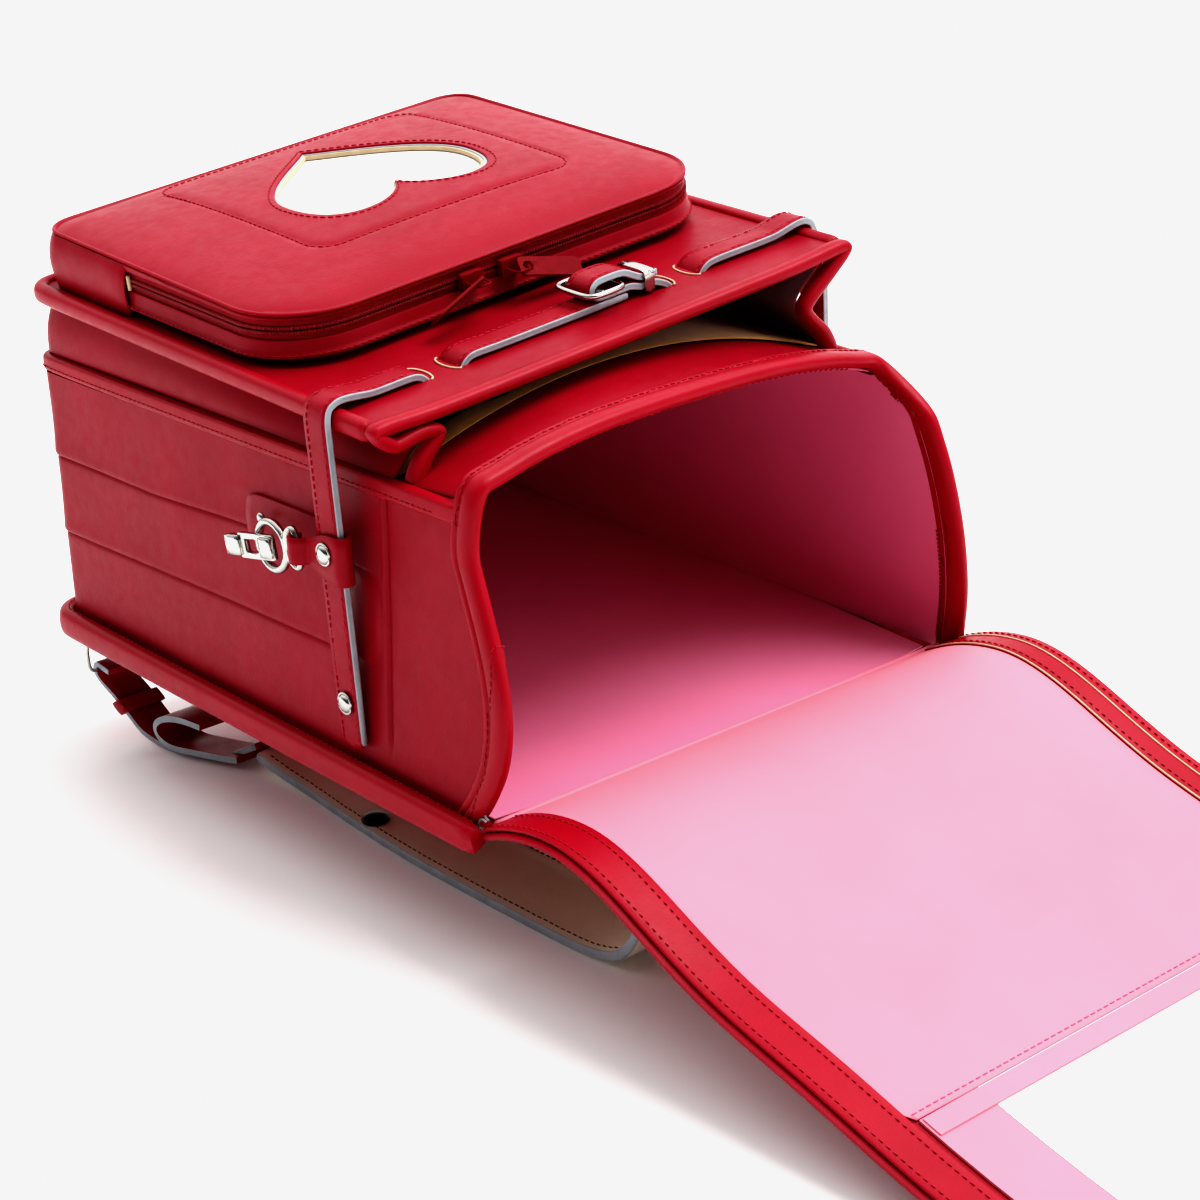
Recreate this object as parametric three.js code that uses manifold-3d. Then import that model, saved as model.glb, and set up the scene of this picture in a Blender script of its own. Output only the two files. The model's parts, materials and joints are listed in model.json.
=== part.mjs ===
// A Japanese school ransel lying on its back on its two shoulder straps, its flap thrown open onto
// the floor. Millimetres, +Z up. The drawing frame has x from the near side panel to the far one,
// y from the flap's hinge to the bottom of the bag, and z from the underside of the back panel up to
// the front pocket. At the end the whole bag is moved so that its box stands centred on the origin.
import * as THREE from 'three';
import { mergeVertices } from 'three/addons/utils/BufferGeometryUtils.js';
import Module from 'manifold-3d';

const wasm = await Module();
wasm.setup();

// Stock and clearances
const leather = 2.4;            // outer leather of walls and flap
const lining = 1;               // linings, facings and other thin sheets
const gap = 0.3;                // between pieces that touch
const seamGap = 1.5;            // between leather edges that meet at a seam
const beltGap = 0.6;            // between a belt and what it passes over
const fineSteps = 300;          // stations a route is first measured at
const fineSlack = 0.08;         // how far a kept route may cut a tight bend
const slack = 0.3;              // and a wide one

// Leather box
const bodyWidth = 247;          // over the side panels at the back
const bodyLength = 313;         // flap hinge to bottom
const sideHeight = 127;         // underside of the back to the side panels' top edge
const openingLean = 10.5;       // each side leans in this far at the top of the opening
const cornerRadius = 10;        // bottom corners of the side wall, in plan
const backThick = 3;
const rimWidth = 8.5;           // rolled rim of the back panel
const rimHeight = 14;
const topBindingHeight = 7;     // folded edge along the top of the side walls
const topBindingThick = 4.4;

// Opening and front panel
const humpReach = 14.5;         // how far the sides' front edges swell past the hinge
const mouthBindingWidth = 12.5;
const mouthBindingThick = 5;
const openingSetback = 14;      // front panel's edge behind the hinge, at its middle
const openingSkew = 8;          // more of that on the far side, less on the near one
const openingBow = 14;          // rise of the front panel's edge
const panelBow = 23;            // rise of the front panel further back
const panelTail = 6;            // rise left at the bottom of the bag
const panelDrop = 2;            // front panel's edges below the sides' top edge
const panelEdge = sideHeight - panelDrop;
const facingStart = 60;         // where the suede facing of the middle pocket begins

// Front board, which closes the middle pocket and carries the zip pocket
const boardWidth = 239;
const boardShift = 4.5;         // its middle lies this far towards the near side
const boardLength = 252;
const boardThick = 5;
const boardRise = 32.6;         // middle of the board over the sides' top edge
const boardHeight = sideHeight + boardRise;
const boardFront = 55;          // its front edge behind the hinge
const boardTilt = THREE.MathUtils.degToRad(4.87);     // far side up
const boardPitch = THREE.MathUtils.degToRad(1.55);    // bottom end up
const boardEdgeHeight = 8.5;    // rolled edging round the board
const boardEdgeWidth = 7;
const boardCorner = 10;
const nearFold = 21;            // depth of the gusset's fold at the mouth of the middle pocket
const farFold = 19;
const gussetBulge = 3;          // swell of the gusset at the bottom of the bag

// Key holder at the near end of the middle pocket
const keyStrapStart = 94;       // its near end from the middle of the bag
const keyStrapLength = 28;
const keyStrapWidth = 10;
const keyRingMiddle = 54;       // from the middle of the bag
const keyRingReach = 9;         // radius at the middle of its wire
const keyRingWire = 2.2;
const keySetback = 12;          // behind the start of the suede facing

// Zip pocket
const pocketWidth = 226;
const pocketFront = 62;         // its front behind the board's front edge
const pocketBack = 5;           // its back inside the board's back edge
const pocketFrontRadius = 36;
const pocketBackRadius = 14;
const baseHeight = 10.5;        // leather below the zip
const zipHeight = 7.5;
const zipRise = 1;              // more height under the zip at the back than at the front
const lidHeightFront = 4;       // leather above the zip
const lidHeightBack = 7;
const lidCrown = 6.5;
const lidRound = 4;
const lidWall = 2;
const heartWidth = 96;
const heartLength = 90;
const heartCentre = 172;        // behind the board's front edge
const heartOffset = 4;          // towards the far side
const heartEdging = 2.4;
const heartSteps = 6;           // stations along each quarter of the heart
const pocketTabLength = 54;
const sliderLength = 11;
const sliderSpread = 20;        // between the two zip sliders
const sliderCentre = -14;       // the pair's middle
const pullLength = 31;
const pullWidth = 9;
const pullThick = 1.2;
const pullEye = 2.6;            // radius of the hole in a pull
const archDepth = 8;            // the slider's wire arch stands this far out
const archWire = 0.5;           // radius of that wire

// Side belts and their buckle
const beltWidth = 15;
const beltThick = 3;
const beltOffset = 26;          // middle of the belts behind the board's front edge
const slotNear = -70;           // middle of each pair of slots in the board
const slotFar = 53;
const slotReach = 13;           // half the length of a pair of slots
const slotBridge = 2.4;         // half the board left between the two
const buckleCentre = 10;
const barWire = 0.8;            // radius of the bar across it
const buckleGrip = 7.2;         // height of the far belt's fold round the buckle's bar
const nearTip = 24;             // end of the near belt under the buckle
const keeperLength = 5;
const keeperBehind = 26;        // from the buckle's bar to the keeper
const sheetMetal = 1;
const buckleLength = 20;
const buckleWidth = 24;
const wire = 2.2;

// Snap hook on the near side, hung from the near belt
const hookHeight = 94.5;        // its hinge bar over the back panel's underside
const hookBar = 98;             // its hinge bar behind the flap's hinge
const hookDrop = THREE.MathUtils.degToRad(11);        // it hangs this much below level
const ringOuter = 23;
const ringWire = 2.8;
const ringBack = 19;            // middle of the ring behind the hinge bar
const eyeHeight = 19;
const loopBore = 2.7;           // radius inside the leather loop round the hinge bar
const loopWidth = 11;
const tabWidth = 20;
const tabThick = 1.8;
const leverWidth = 10;
const leverLength = 33;
const leverThick = 2;
const leverStart = 14;          // its pivot behind the hinge bar
const rivetWidth = 8;
const rivetRise = 2;
const patchLength = 59;
const patchHeight = 22;

// Flap
const flapLength = 470;
const flapWidth = 256;
const flapCore = 3;
const flapCorner = 66;
const footHeight = 58;          // the bag's back over the floor
const farLift = 8;              // the flap's far edge stands higher over the hump
const borderWidth = 18;
const borderInset = 2;
const flapSteps = 24;           // stations along the flap's straight part
const seamStep = 13;            // the one where the timetable pocket starts
const sheetFrame = 28;          // woven frame beside the timetable sheet
const tongueLength = 58;
const tongueWidth = 46;
const tongueCorner = 8;
const lockPlateThick = 2;
const lockPlateCorner = 5;
const lockSlotWidth = 14;
const lockSlotLength = 7;
const lockBaseWidth = 34;
const lockBaseLength = 26;
const lockBaseThick = 9;
const lockHeight = 70;          // middle of the lock's base over the back panel's underside
const lockCorner = 6;

// Shoulder straps
const strapWidth = 44;
const strapThick = 4.6;
const tailWidth = 18;
const tailThick = 3;
const tailKeeper = 7;           // length of the keeper round a strap's narrow end
const padEnd = 0.705;           // end of the padded strap, as a share of the body's length
const carrierWidth = 112;
const carrierLength = 34;
const carrierThick = 3;
const carrierCorner = 8;
const dRingWidth = 26;
const dRingHeight = 17;
const dRingCorner = 4;
const dRingDrop = 5;            // its upper bar below the back panel
const ringTabLength = 34;
const dRingBack = 15;           // the D-rings inside the bottom of the bag
const dRingSpread = 112;        // from the middle of the bag
const strapSplay = 69;          // middle of each strap from the middle of the bag, on the floor
const strapRoot = 32;           // the same at the carrier

const crimson = leatherOf(0xb3142c);
const crimsonDark = leatherOf(0x8c0f24);
const pink = new THREE.MeshStandardMaterial({ color: 0xf59ac4, roughness: 0.6 });
const suede = new THREE.MeshStandardMaterial({ color: 0x9a7a32, roughness: 0.95 });
const cream = leatherOf(0xd9d0b4);
const nickel = new THREE.MeshStandardMaterial({ color: 0xd0d0d0, roughness: 0.2, metalness: 1 });
const white = new THREE.MeshStandardMaterial({ color: 0xf4f2ee, roughness: 0.5 });
const grey = new THREE.MeshStandardMaterial({ color: 0xc5ced3, roughness: 0.6 });
const black = new THREE.MeshStandardMaterial({ color: 0x151515, roughness: 0.6 });

const bag = new THREE.Group();
const board = new THREE.Group();
board.position.set(-boardShift, boardFront, boardHeight);
board.rotation.set(boardPitch, -boardTilt, 0);
bag.add(board);
bag.updateMatrixWorld(true);

function leatherOf(color) {
  return new THREE.MeshStandardMaterial({ color, roughness: 0.5 });
}

function piece(name, geometry, material, parent = bag) {
  const mesh = new THREE.Mesh(geometry, material);
  mesh.name = name;
  parent.add(mesh);
  return mesh;
}

// Small tools for shapes

function vec(x, y, z) {
  return new THREE.Vector3(x, y, z);
}

function share(value) {
  return Math.min(1, Math.max(0, value));
}

function mix(from, to, part) {
  return from + (to - from) * part;
}

function steps(count) {
  return Array.from({ length: count + 1 }, (_, i) => i / count);
}

// Smooth reading of one column of a table by another
function reading(rows, key, column) {
  const spline = new THREE.CubicInterpolant(
    rows.map((row) => row[key]), rows.map((row) => row[column]), 1, [0]);
  const first = rows[0][key];
  const last = rows[rows.length - 1][key];
  return (at) => spline.evaluate(Math.min(last, Math.max(first, at)))[0];
}

// A closed body from points and faces, turned so that its faces point out
function solid(points, faces) {
  let volume = 0;
  for (const [a, b, c] of faces) {
    volume += points[a].dot(points[b].clone().cross(points[c]));
  }
  const turned = volume < 0 ? faces.map(([a, b, c]) => [a, c, b]) : faces;
  const geometry = new THREE.BufferGeometry().setFromPoints(points);
  geometry.setIndex(turned.flat());
  geometry.computeVertexNormals();
  return geometry;
}

// A body between two grids of points, such as the two faces of a sheet of leather
function shell(front, back, closed = false) {
  const rows = front.length;
  const columns = front[0].length;
  const faces = [];
  const at = (side, i, j) => (side * rows + i) * columns + (j % columns);
  const quad = (a, b, c, d) => faces.push([a, b, c], [a, c, d]);
  const across = closed ? columns : columns - 1;
  for (let j = 0; j < across; j++) {
    for (let i = 0; i < rows - 1; i++) {
      quad(at(0, i, j), at(0, i, j + 1), at(0, i + 1, j + 1), at(0, i + 1, j));
      quad(at(1, i, j), at(1, i + 1, j), at(1, i + 1, j + 1), at(1, i, j + 1));
    }
    quad(at(0, 0, j), at(1, 0, j), at(1, 0, j + 1), at(0, 0, j + 1));
    quad(at(0, rows - 1, j), at(0, rows - 1, j + 1), at(1, rows - 1, j + 1), at(1, rows - 1, j));
  }
  for (let i = 0; !closed && i < rows - 1; i++) {
    quad(at(0, i, 0), at(0, i + 1, 0), at(1, i + 1, 0), at(1, i, 0));
    quad(at(0, i, across), at(1, i, across), at(1, i + 1, across), at(0, i + 1, across));
  }
  return solid([...front.flat(), ...back.flat()], faces);
}

// A body through sections that each have the same number of corners
function loft(rings, loop = false) {
  const count = rings[0].length;
  const faces = [];
  const spans = loop ? rings.length : rings.length - 1;
  for (let i = 0; i < spans; i++) {
    const here = i * count;
    const next = ((i + 1) % rings.length) * count;
    for (let j = 0; j < count; j++) {
      const beside = (j + 1) % count;
      faces.push([here + j, here + beside, next + beside], [here + j, next + beside, next + j]);
    }
  }
  const end = (rings.length - 1) * count;
  for (let j = 1; !loop && j < count - 1; j++) {
    faces.push([0, j + 1, j], [end, end + j, end + j + 1]);
  }
  return solid(rings.flat(), faces);
}

function flatSection(width, thick) {
  return [[-width, -thick], [width, -thick], [width, thick], [-width, thick]]
    .map(([a, b]) => [a / 2, b / 2]);
}

function ovalSection(width, thick, sides, square = 1) {
  const round = (value) => Math.sign(value) * Math.abs(value) ** square;
  return Array.from({ length: sides }, (_, i) => {
    const angle = ((i + 0.5) / sides) * 2 * Math.PI;
    return [round(Math.cos(angle)) * width / 2, round(Math.sin(angle)) * thick / 2];
  });
}

// How far along a route each of its points lies, as a share of its length
function shares(route) {
  let travelled = 0;
  const sums = route.map((at, i) => {
    travelled += i > 0 ? at.distanceTo(route[i - 1]) : 0;
    return travelled;
  });
  return sums.map((sum) => sum / travelled);
}

// A section carried along a route, its width kept in one direction
function sweep(route, section, wide) {
  const parts = shares(route);
  const rings = route.map((at, i) => {
    const before = route[Math.max(0, i - 1)];
    const after = route[Math.min(route.length - 1, i + 1)];
    const deep = after.clone().sub(before).cross(wide).normalize();
    const corners = typeof section === 'function' ? section(parts[i]) : section;
    return corners.map(([a, b]) => at.clone().addScaledVector(wide, a).addScaledVector(deep, b));
  });
  return loft(rings);
}

// A smooth route through points, without the stations that lie nearly on a straight line
function smooth(points, slack) {
  const fine = new THREE.CatmullRomCurve3(points, false, 'centripetal').getSpacedPoints(fineSteps);
  const kept = [fine[0]];
  let last = 0;
  for (let i = 2; i < fine.length; i++) {
    const chord = new THREE.Line3(fine[last], fine[i]);
    const off = fine.slice(last + 1, i)
      .some((at) => chord.closestPointToPoint(at, true, vec()).distanceTo(at) > slack);
    if (off) {
      last = i - 1;
      kept.push(fine[last]);
    }
  }
  return [...kept, fine[fine.length - 1]];
}

function rounded(width, length, radius) {
  const shape = new THREE.Shape();
  const right = width / 2 - radius;
  const top = length / 2 - radius;
  shape.absarc(right, top, radius, 0, Math.PI / 2);
  shape.absarc(-right, top, radius, Math.PI / 2, Math.PI);
  shape.absarc(-right, -top, radius, Math.PI, Math.PI * 1.5);
  shape.absarc(right, -top, radius, Math.PI * 1.5, Math.PI * 2);
  return shape;
}

function plate(shape, thick, curveSegments = 3) {
  return new THREE.ExtrudeGeometry(shape, { depth: thick, bevelEnabled: false, curveSegments });
}

// A geometry as a solid for cutting, and the cut solid back as a geometry
function toSolid(geometry) {
  const bare = geometry.clone();
  bare.deleteAttribute('normal');
  bare.deleteAttribute('uv');
  const merged = mergeVertices(bare, gap / 1000);
  return new wasm.Manifold(new wasm.Mesh({
    numProp: 3,
    vertProperties: merged.attributes.position.array,
    triVerts: new Uint32Array(merged.index.array),
  }));
}

function toGeometry(cut) {
  const mesh = cut.getMesh();
  const geometry = new THREE.BufferGeometry();
  geometry.setAttribute('position', new THREE.BufferAttribute(mesh.vertProperties, 3));
  geometry.setIndex(new THREE.BufferAttribute(mesh.triVerts, 1));
  geometry.computeVertexNormals();
  return geometry;
}

// The leather box: side wall, back, rim and linings

// Half the width over the side panels at a point of them
function halfWidth(y, z) {
  return bodyWidth / 2 - openingLean * share(z / sideHeight) * share(1 - y / bodyLength);
}

// Front edges of the two sides: how far they swell out past the hinge as they rise
const nearMouth = [
  { rise: 0.02, out: -0.50 }, { rise: 0.10, out: 0.05 }, { rise: 0.25, out: 0.72 },
  { rise: 0.42, out: 0.84 }, { rise: 0.60, out: 0.42 }, { rise: 0.78, out: -0.27 },
  { rise: 0.93, out: -0.66 }, { rise: 1.00, out: -0.64 },
];
const farMouth = [
  { rise: 0.02, out: 0.55 }, { rise: 0.11, out: 0.73 }, { rise: 0.26, out: 0.97 },
  { rise: 0.44, out: 1.00 }, { rise: 0.61, out: 0.82 }, { rise: 0.78, out: 0.43 },
  { rise: 0.92, out: -0.24 }, { rise: 1.00, out: -1.15 },
];
const nearOut = reading(nearMouth, 'rise', 'out');
const farOut = reading(farMouth, 'rise', 'out');

function mouthEdge(side, z) {
  const out = side < 0 ? nearOut : farOut;
  return -humpReach * out(z / sideHeight);
}

// One level of the side wall seen from above: near side, bottom and far side
function wallRow(z, inset, frontNear, frontFar, cornerSteps = 3) {
  const row = [];
  const radius = cornerRadius - inset;
  const turn = bodyLength - cornerRadius;
  const straight = (side, y) => vec(side * (halfWidth(y, z) - inset), y, z);
  row.push(straight(-1, frontNear));
  for (const side of [-1, 1]) {
    const middle = side * (halfWidth(turn, z) - cornerRadius);
    for (const part of steps(cornerSteps)) {
      const angle = (side < 0 ? part : 1 - part) * Math.PI / 2;
      row.push(vec(middle + side * radius * Math.cos(angle), turn + radius * Math.sin(angle), z));
    }
  }
  row.push(straight(1, frontFar));
  return row;
}

function bindingBack(side) {
  return frontEdge(side).y + mouthBindingWidth + seamGap;
}

// Front edge of the side wall behind the opening's binding, which turns inward near the top
function wallFront(side, z) {
  const below = mouthEdge(side, z) + mouthBindingWidth + seamGap;
  const turn = share((z / sideHeight - 0.84) / 0.08);
  return mix(below, Math.max(below, bindingBack(side)), turn);
}

function wallSheet(levels, outside, thick) {
  const rows = (inset) => levels.map((z) => wallRow(z, inset, wallFront(-1, z), wallFront(1, z)));
  return shell(rows(outside), rows(outside + thick));
}

const wallTop = sideHeight - topBindingHeight;
const liningInset = leather + gap;
const wallLevels = steps(10).map((part) => mix(backThick + gap, wallTop - gap, part));
const liningLevels = steps(10).map((part) => mix(backThick + lining + 3 * gap, wallTop - gap, part));
piece('gusset_wall', wallSheet(wallLevels, 0, leather), crimson);
piece('gusset_lining', wallSheet(liningLevels, liningInset, lining), pink);

function makeTopBinding() {
  const proud = (topBindingThick - leather) / 2;
  const bulge = [{ up: 0, in: 0.3 }, { up: 0.2, in: 0 }, { up: 0.8, in: 0 }, { up: 1, in: 0.3 }];
  const face = (out) => bulge.map((row) => {
    const z = mix(wallTop, sideHeight, row.up);
    const soft = row.in * proud;
    const inset = out ? soft - proud : leather + proud - soft;
    return wallRow(z, inset, bindingBack(-1), bindingBack(1));
  });
  return shell(face(true), face(false));
}
piece('top_binding', makeTopBinding(), crimson);

function backShape(inset) {
  const shape = new THREE.Shape();
  const side = bodyWidth / 2 - inset;
  const bottom = bodyLength - inset;
  const radius = cornerRadius - inset;
  shape.moveTo(-side, gap);
  shape.lineTo(side, gap);
  shape.absarc(side - radius, bottom - radius, radius, 0, Math.PI / 2);
  shape.absarc(-side + radius, bottom - radius, radius, Math.PI / 2, Math.PI);
  return shape;
}

function makeBack() {
  piece('back_panel', plate(backShape(0), backThick), crimson);
  const sheet = piece('back_lining', plate(backShape(liningInset + lining + gap), lining), pink);
  sheet.position.z = backThick + gap;
}
makeBack();

// The rim rolls round the back panel's edge, outside the side wall
function makeRim() {
  const reach = rimWidth / 2 + gap;
  const route = wallRow(0, -reach, gap, gap, 6).map((at) => at.setZ(backThick / 2 + gap));
  return sweep(route, ovalSection(rimHeight, rimWidth, 8, 0.7), vec(0, 0, 1));
}
piece('back_rim', makeRim(), crimson);

// Front panel and the binding round the opening

function frontEdge(across) {
  const half = halfWidth(openingSetback, sideHeight);
  const rise = openingBow * (1 - Math.abs(across) ** 3) + (1 - across) * openingSkew * 0.44;
  return vec(across * half, openingSetback + openingSkew * across, panelEdge + rise);
}

function mouthRoute() {
  const sideLevels = [0.1, 0.15, 0.22, 0.3, 0.4, 0.5, 0.6, 0.7, 0.8, 0.88];
  const sidePoint = (side) => (rise) => {
    const z = rise * sideHeight;
    const y = mouthEdge(side, z);
    return vec(side * (halfWidth(y, z) - leather / 2), y, z);
  };
  const across = [-0.965, -0.88, -0.7, -0.45, -0.15, 0.15, 0.45, 0.7, 0.88, 0.965];
  return [
    ...sideLevels.map(sidePoint(-1)), ...across.map(frontEdge),
    ...sideLevels.map(sidePoint(1)).reverse(),
  ];
}

function makeMouthBinding() {
  const route = smooth(mouthRoute(), slack);
  const back = mouthBindingWidth / 2;
  const middle = route.map((at) => at.clone().add(vec(0, back, 0)));
  return sweep(middle, ovalSection(mouthBindingWidth, mouthBindingThick, 8, 0.6), vec(0, 1, 0));
}
piece('opening_binding', makeMouthBinding(), crimson);

// Height of the front panel's outer face
function panelHeight(across, y) {
  const past = share((y - openingSetback) / (facingStart - openingSetback));
  const tail = share((y - facingStart) / (bodyLength - facingStart));
  const edge = mix((1 - across) * openingSkew * 0.44, 0, past);
  const bow = mix(mix(openingBow, panelBow, past), panelTail, tail * tail * (3 - 2 * tail));
  return panelEdge + edge + bow * (1 - Math.abs(across) ** mix(3, 2, past));
}

// Half the room between the side walls' inner faces, rounded off at the bottom of the bag
function innerHalf(y, inset) {
  const past = Math.max(0, y - (bodyLength - cornerRadius));
  const radius = cornerRadius - inset;
  const round = radius - Math.sqrt(Math.max(0, radius ** 2 - past ** 2));
  return halfWidth(y, sideHeight) - inset - round;
}

const panelInset = leather + (topBindingThick - leather) / 2 + gap;
const panelEnd = bodyLength - panelInset;
const panelTurn = bodyLength - cornerRadius;
const facingStations = [
  ...steps(4).map((part) => mix(facingStart, panelTurn, part)),
  ...[0.6, 1].map((part) => mix(panelTurn, panelEnd, part)),
];

const facingLift = 2 * gap;

function panelSheet(front, inset, raise, thick) {
  const rear = front ? facingStations.slice(1) : facingStations;
  const fore = front ? steps(3) : [];
  const grid = (lift) => [...fore, ...rear].map((station, i) => steps(8).map((u) => {
    const across = 2 * u - 1;
    const y = i < fore.length ? mix(front(across), facingStart, station) : station;
    const half = innerHalf(y, inset);
    return vec(across * half, y, panelHeight(across, y) + lift);
  }));
  return shell(grid(raise), grid(raise - thick));
}

const behindBinding = (across) => frontEdge(across).y + mouthBindingWidth + seamGap;
piece('front_panel', panelSheet(behindBinding, panelInset, 0, leather), crimson);
piece('front_lining', panelSheet(behindBinding, panelInset, -leather - gap, lining), pink);
piece('divider_facing', panelSheet(null, panelInset, facingLift + lining, lining), suede);

// Key holder that lies at the near end of the middle pocket
function makeKeyHolder() {
  const keyRow = facingStart + keySetback;
  const place = (x, y, up) => {
    const across = x / halfWidth(y, sideHeight);
    return vec(x, y, panelHeight(across, y) + facingLift + lining + 2 * gap + up);
  };
  const route = steps(5).map((part) => {
    return place(keyStrapLength * part - keyStrapStart, keyRow, leather / 2);
  });
  piece('key_strap', sweep(route, flatSection(keyStrapWidth, lining), vec(0, 1, 0)), black);
  const turns = steps(12).slice(1).map((part) => {
    const angle = part * 2 * Math.PI;
    const x = keyRingReach * Math.cos(angle) - keyRingMiddle;
    return place(x, keyRow + keyRingReach * Math.sin(angle), keyRingWire / 2);
  });
  const rings = turns.map((at, i) => {
    const angle = ((i + 1) / turns.length) * 2 * Math.PI;
    const outward = vec(Math.cos(angle), Math.sin(angle), 0);
    return ovalSection(keyRingWire, keyRingWire, 6).map(([a, b]) => at.clone()
      .addScaledVector(outward, a).add(vec(0, 0, b)));
  });
  piece('key_ring', loft(rings, true), black);
}
makeKeyHolder();

// Middle pocket: the gusset between side walls and board, and the rolled binding of its mouth

// Fold of the gusset at the pocket's mouth, as shares of its depth and of its height
const nearFoldRows = [
  { up: 0, inward: 0.05, rise: 0 }, { up: 0.3, inward: 0.42, rise: 0.36 },
  { up: 0.55, inward: 0.85, rise: 0.72 }, { up: 0.72, inward: 1, rise: 0.97 },
  { up: 0.86, inward: 0.55, rise: 1.02 }, { up: 1, inward: 0, rise: 0.86 },
];
const farFoldRows = [
  { up: 0, inward: 0.05, rise: 0 }, { up: 0.25, inward: 0.5, rise: 0.26 },
  { up: 0.45, inward: 0.9, rise: 0.46 }, { up: 0.58, inward: 1, rise: 0.6 },
  { up: 0.8, inward: 0.5, rise: 0.8 }, { up: 1, inward: 0, rise: 1 },
];

function foldShape(rows) {
  return { inward: reading(rows, 'up', 'inward'), rise: reading(rows, 'up', 'rise') };
}
const folds = { near: foldShape(nearFoldRows), far: foldShape(farFoldRows) };

// The board's underside, above a point of the bag
function boardPoint(across, along, up) {
  return board.localToWorld(vec(across, along, up));
}

function gussetPoint(side, y, up, inset, depth) {
  const fold = side < 0 ? folds.near : folds.far;
  const bottom = vec(side * (halfWidth(y, sideHeight) - leather / 2), y, sideHeight + gap);
  const top = boardPoint(side * (boardWidth / 2 - 3), y - boardFront, -boardEdgeHeight / 2 - gap);
  const folded = share(1 - (y - boardFront) / (bodyLength / 2)) ** 1.5;
  const rise = mix(up, fold.rise(up), folded);
  const swell = gussetBulge * Math.sin(Math.PI * up) * (1 - folded);
  const inward = depth * folded * fold.inward(up) - swell + inset;
  const x = mix(bottom.x, top.x, up) - side * inward;
  return vec(x, y, mix(bottom.z, top.z, rise));
}

function gussetRow(up, inset, front) {
  const row = [];
  const turn = bodyLength - cornerRadius;
  const stations = [0, 0.14, 0.3, 0.55].map((part) => mix(front, turn, part));
  for (const side of [-1, 1]) {
    const depth = side < 0 ? nearFold : farFold;
    const along = stations.map((y) => gussetPoint(side, y, up, inset, depth));
    const corner = gussetPoint(side, turn, up, inset, depth);
    const radius = cornerRadius - leather / 2 - inset + gussetBulge * Math.sin(Math.PI * up);
    const middle = corner.x - side * radius;
    const round = steps(3).map((part) => {
      const angle = part * Math.PI / 2;
      return vec(middle + side * radius * Math.cos(angle), turn + radius * Math.sin(angle), corner.z);
    });
    const half = [...along, ...round];
    row.push(...(side < 0 ? half : half.reverse()));
  }
  return row;
}

const gussetFront = boardFront + boardEdgeWidth / 2 + gap;
function makeMidGusset() {
  const grid = (inset) => steps(7).map((up) => gussetRow(up, inset, gussetFront));
  return shell(grid(0), grid(leather));
}
piece('mid_gusset', makeMidGusset(), crimson);

// The binding runs up one fold, along the board's front edge and down the other fold
function makePocketMouth() {
  const y = boardFront - boardEdgeWidth / 2;
  const foldRoute = (side) => steps(6).map((part) => {
    const up = mix(0.13, 0.97, part);
    return gussetPoint(side, y, up, leather / 2, side < 0 ? nearFold : farFold);
  });
  const half = boardWidth / 2;
  const turnNear = [[-half + 1, -2.2], [-half - 1.5, 0.5], [-half + 3, 1.5]];
  const turnFar = [[half - 3, 1.5], [half + 1.5, 0.5], [half - 1, -2.2]];
  const edge = [-0.8, -0.4, 0, 0.4, 0.8].map((part) => [part * half, 0]);
  const top = [...turnNear, ...edge, ...turnFar]
    .map(([across, up]) => boardPoint(across, -boardEdgeWidth / 2, up));
  const route = smooth([...foldRoute(-1), ...top, ...foldRoute(1).reverse()], slack / 2);
  const section = ovalSection(boardEdgeWidth, 5, 8, 0.75);
  return sweep(route, section, vec(0, 1, 0));
}
piece('pocket_mouth_binding', makePocketMouth(), crimson);

// Front board with its slots, and the edging round its other three sides

function slotCuts() {
  const length = slotReach - slotBridge;
  const width = beltWidth + 2 * beltGap;
  return [slotNear, slotFar].flatMap((middle) => [-1, 1].map((side) => {
    const cut = new THREE.BoxGeometry(length, width, boardThick * 2);
    cut.translate(middle + side * (slotBridge + length / 2), beltOffset, 0);
    return toSolid(cut);
  }));
}

function makeBoard() {
  const inset = boardEdgeWidth / 2 + gap;
  const length = boardLength - inset - gap;
  const blank = plate(rounded(boardWidth - 2 * inset, length, boardCorner - inset / 2), boardThick);
  blank.translate(0, gap + length / 2, -boardThick / 2);
  let cut = toSolid(blank);
  for (const slot of slotCuts()) {
    cut = cut.subtract(slot);
  }
  piece('front_board', toGeometry(cut), crimson, board);
}
makeBoard();

function makeBoardEdging() {
  const side = boardWidth / 2;
  const route = [vec(-side, gap, 0), vec(-side, boardLength * 0.5, 0)];
  for (const way of [-1, 1]) {
    for (const part of steps(4)) {
      const angle = (way < 0 ? part : 1 - part) * Math.PI / 2;
      route.push(vec(
        way * (side - boardCorner + boardCorner * Math.cos(angle)),
        boardLength - boardCorner + boardCorner * Math.sin(angle), 0));
    }
  }
  route.push(vec(side, boardLength * 0.5, 0), vec(side, gap, 0));
  return sweep(route, ovalSection(boardEdgeHeight, boardEdgeWidth, 8, 0.75), vec(0, 0, 1));
}
piece('board_edging', makeBoardEdging(), crimson, board);

// Zip pocket

const pocketLength = boardLength - pocketFront - pocketBack;

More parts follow.
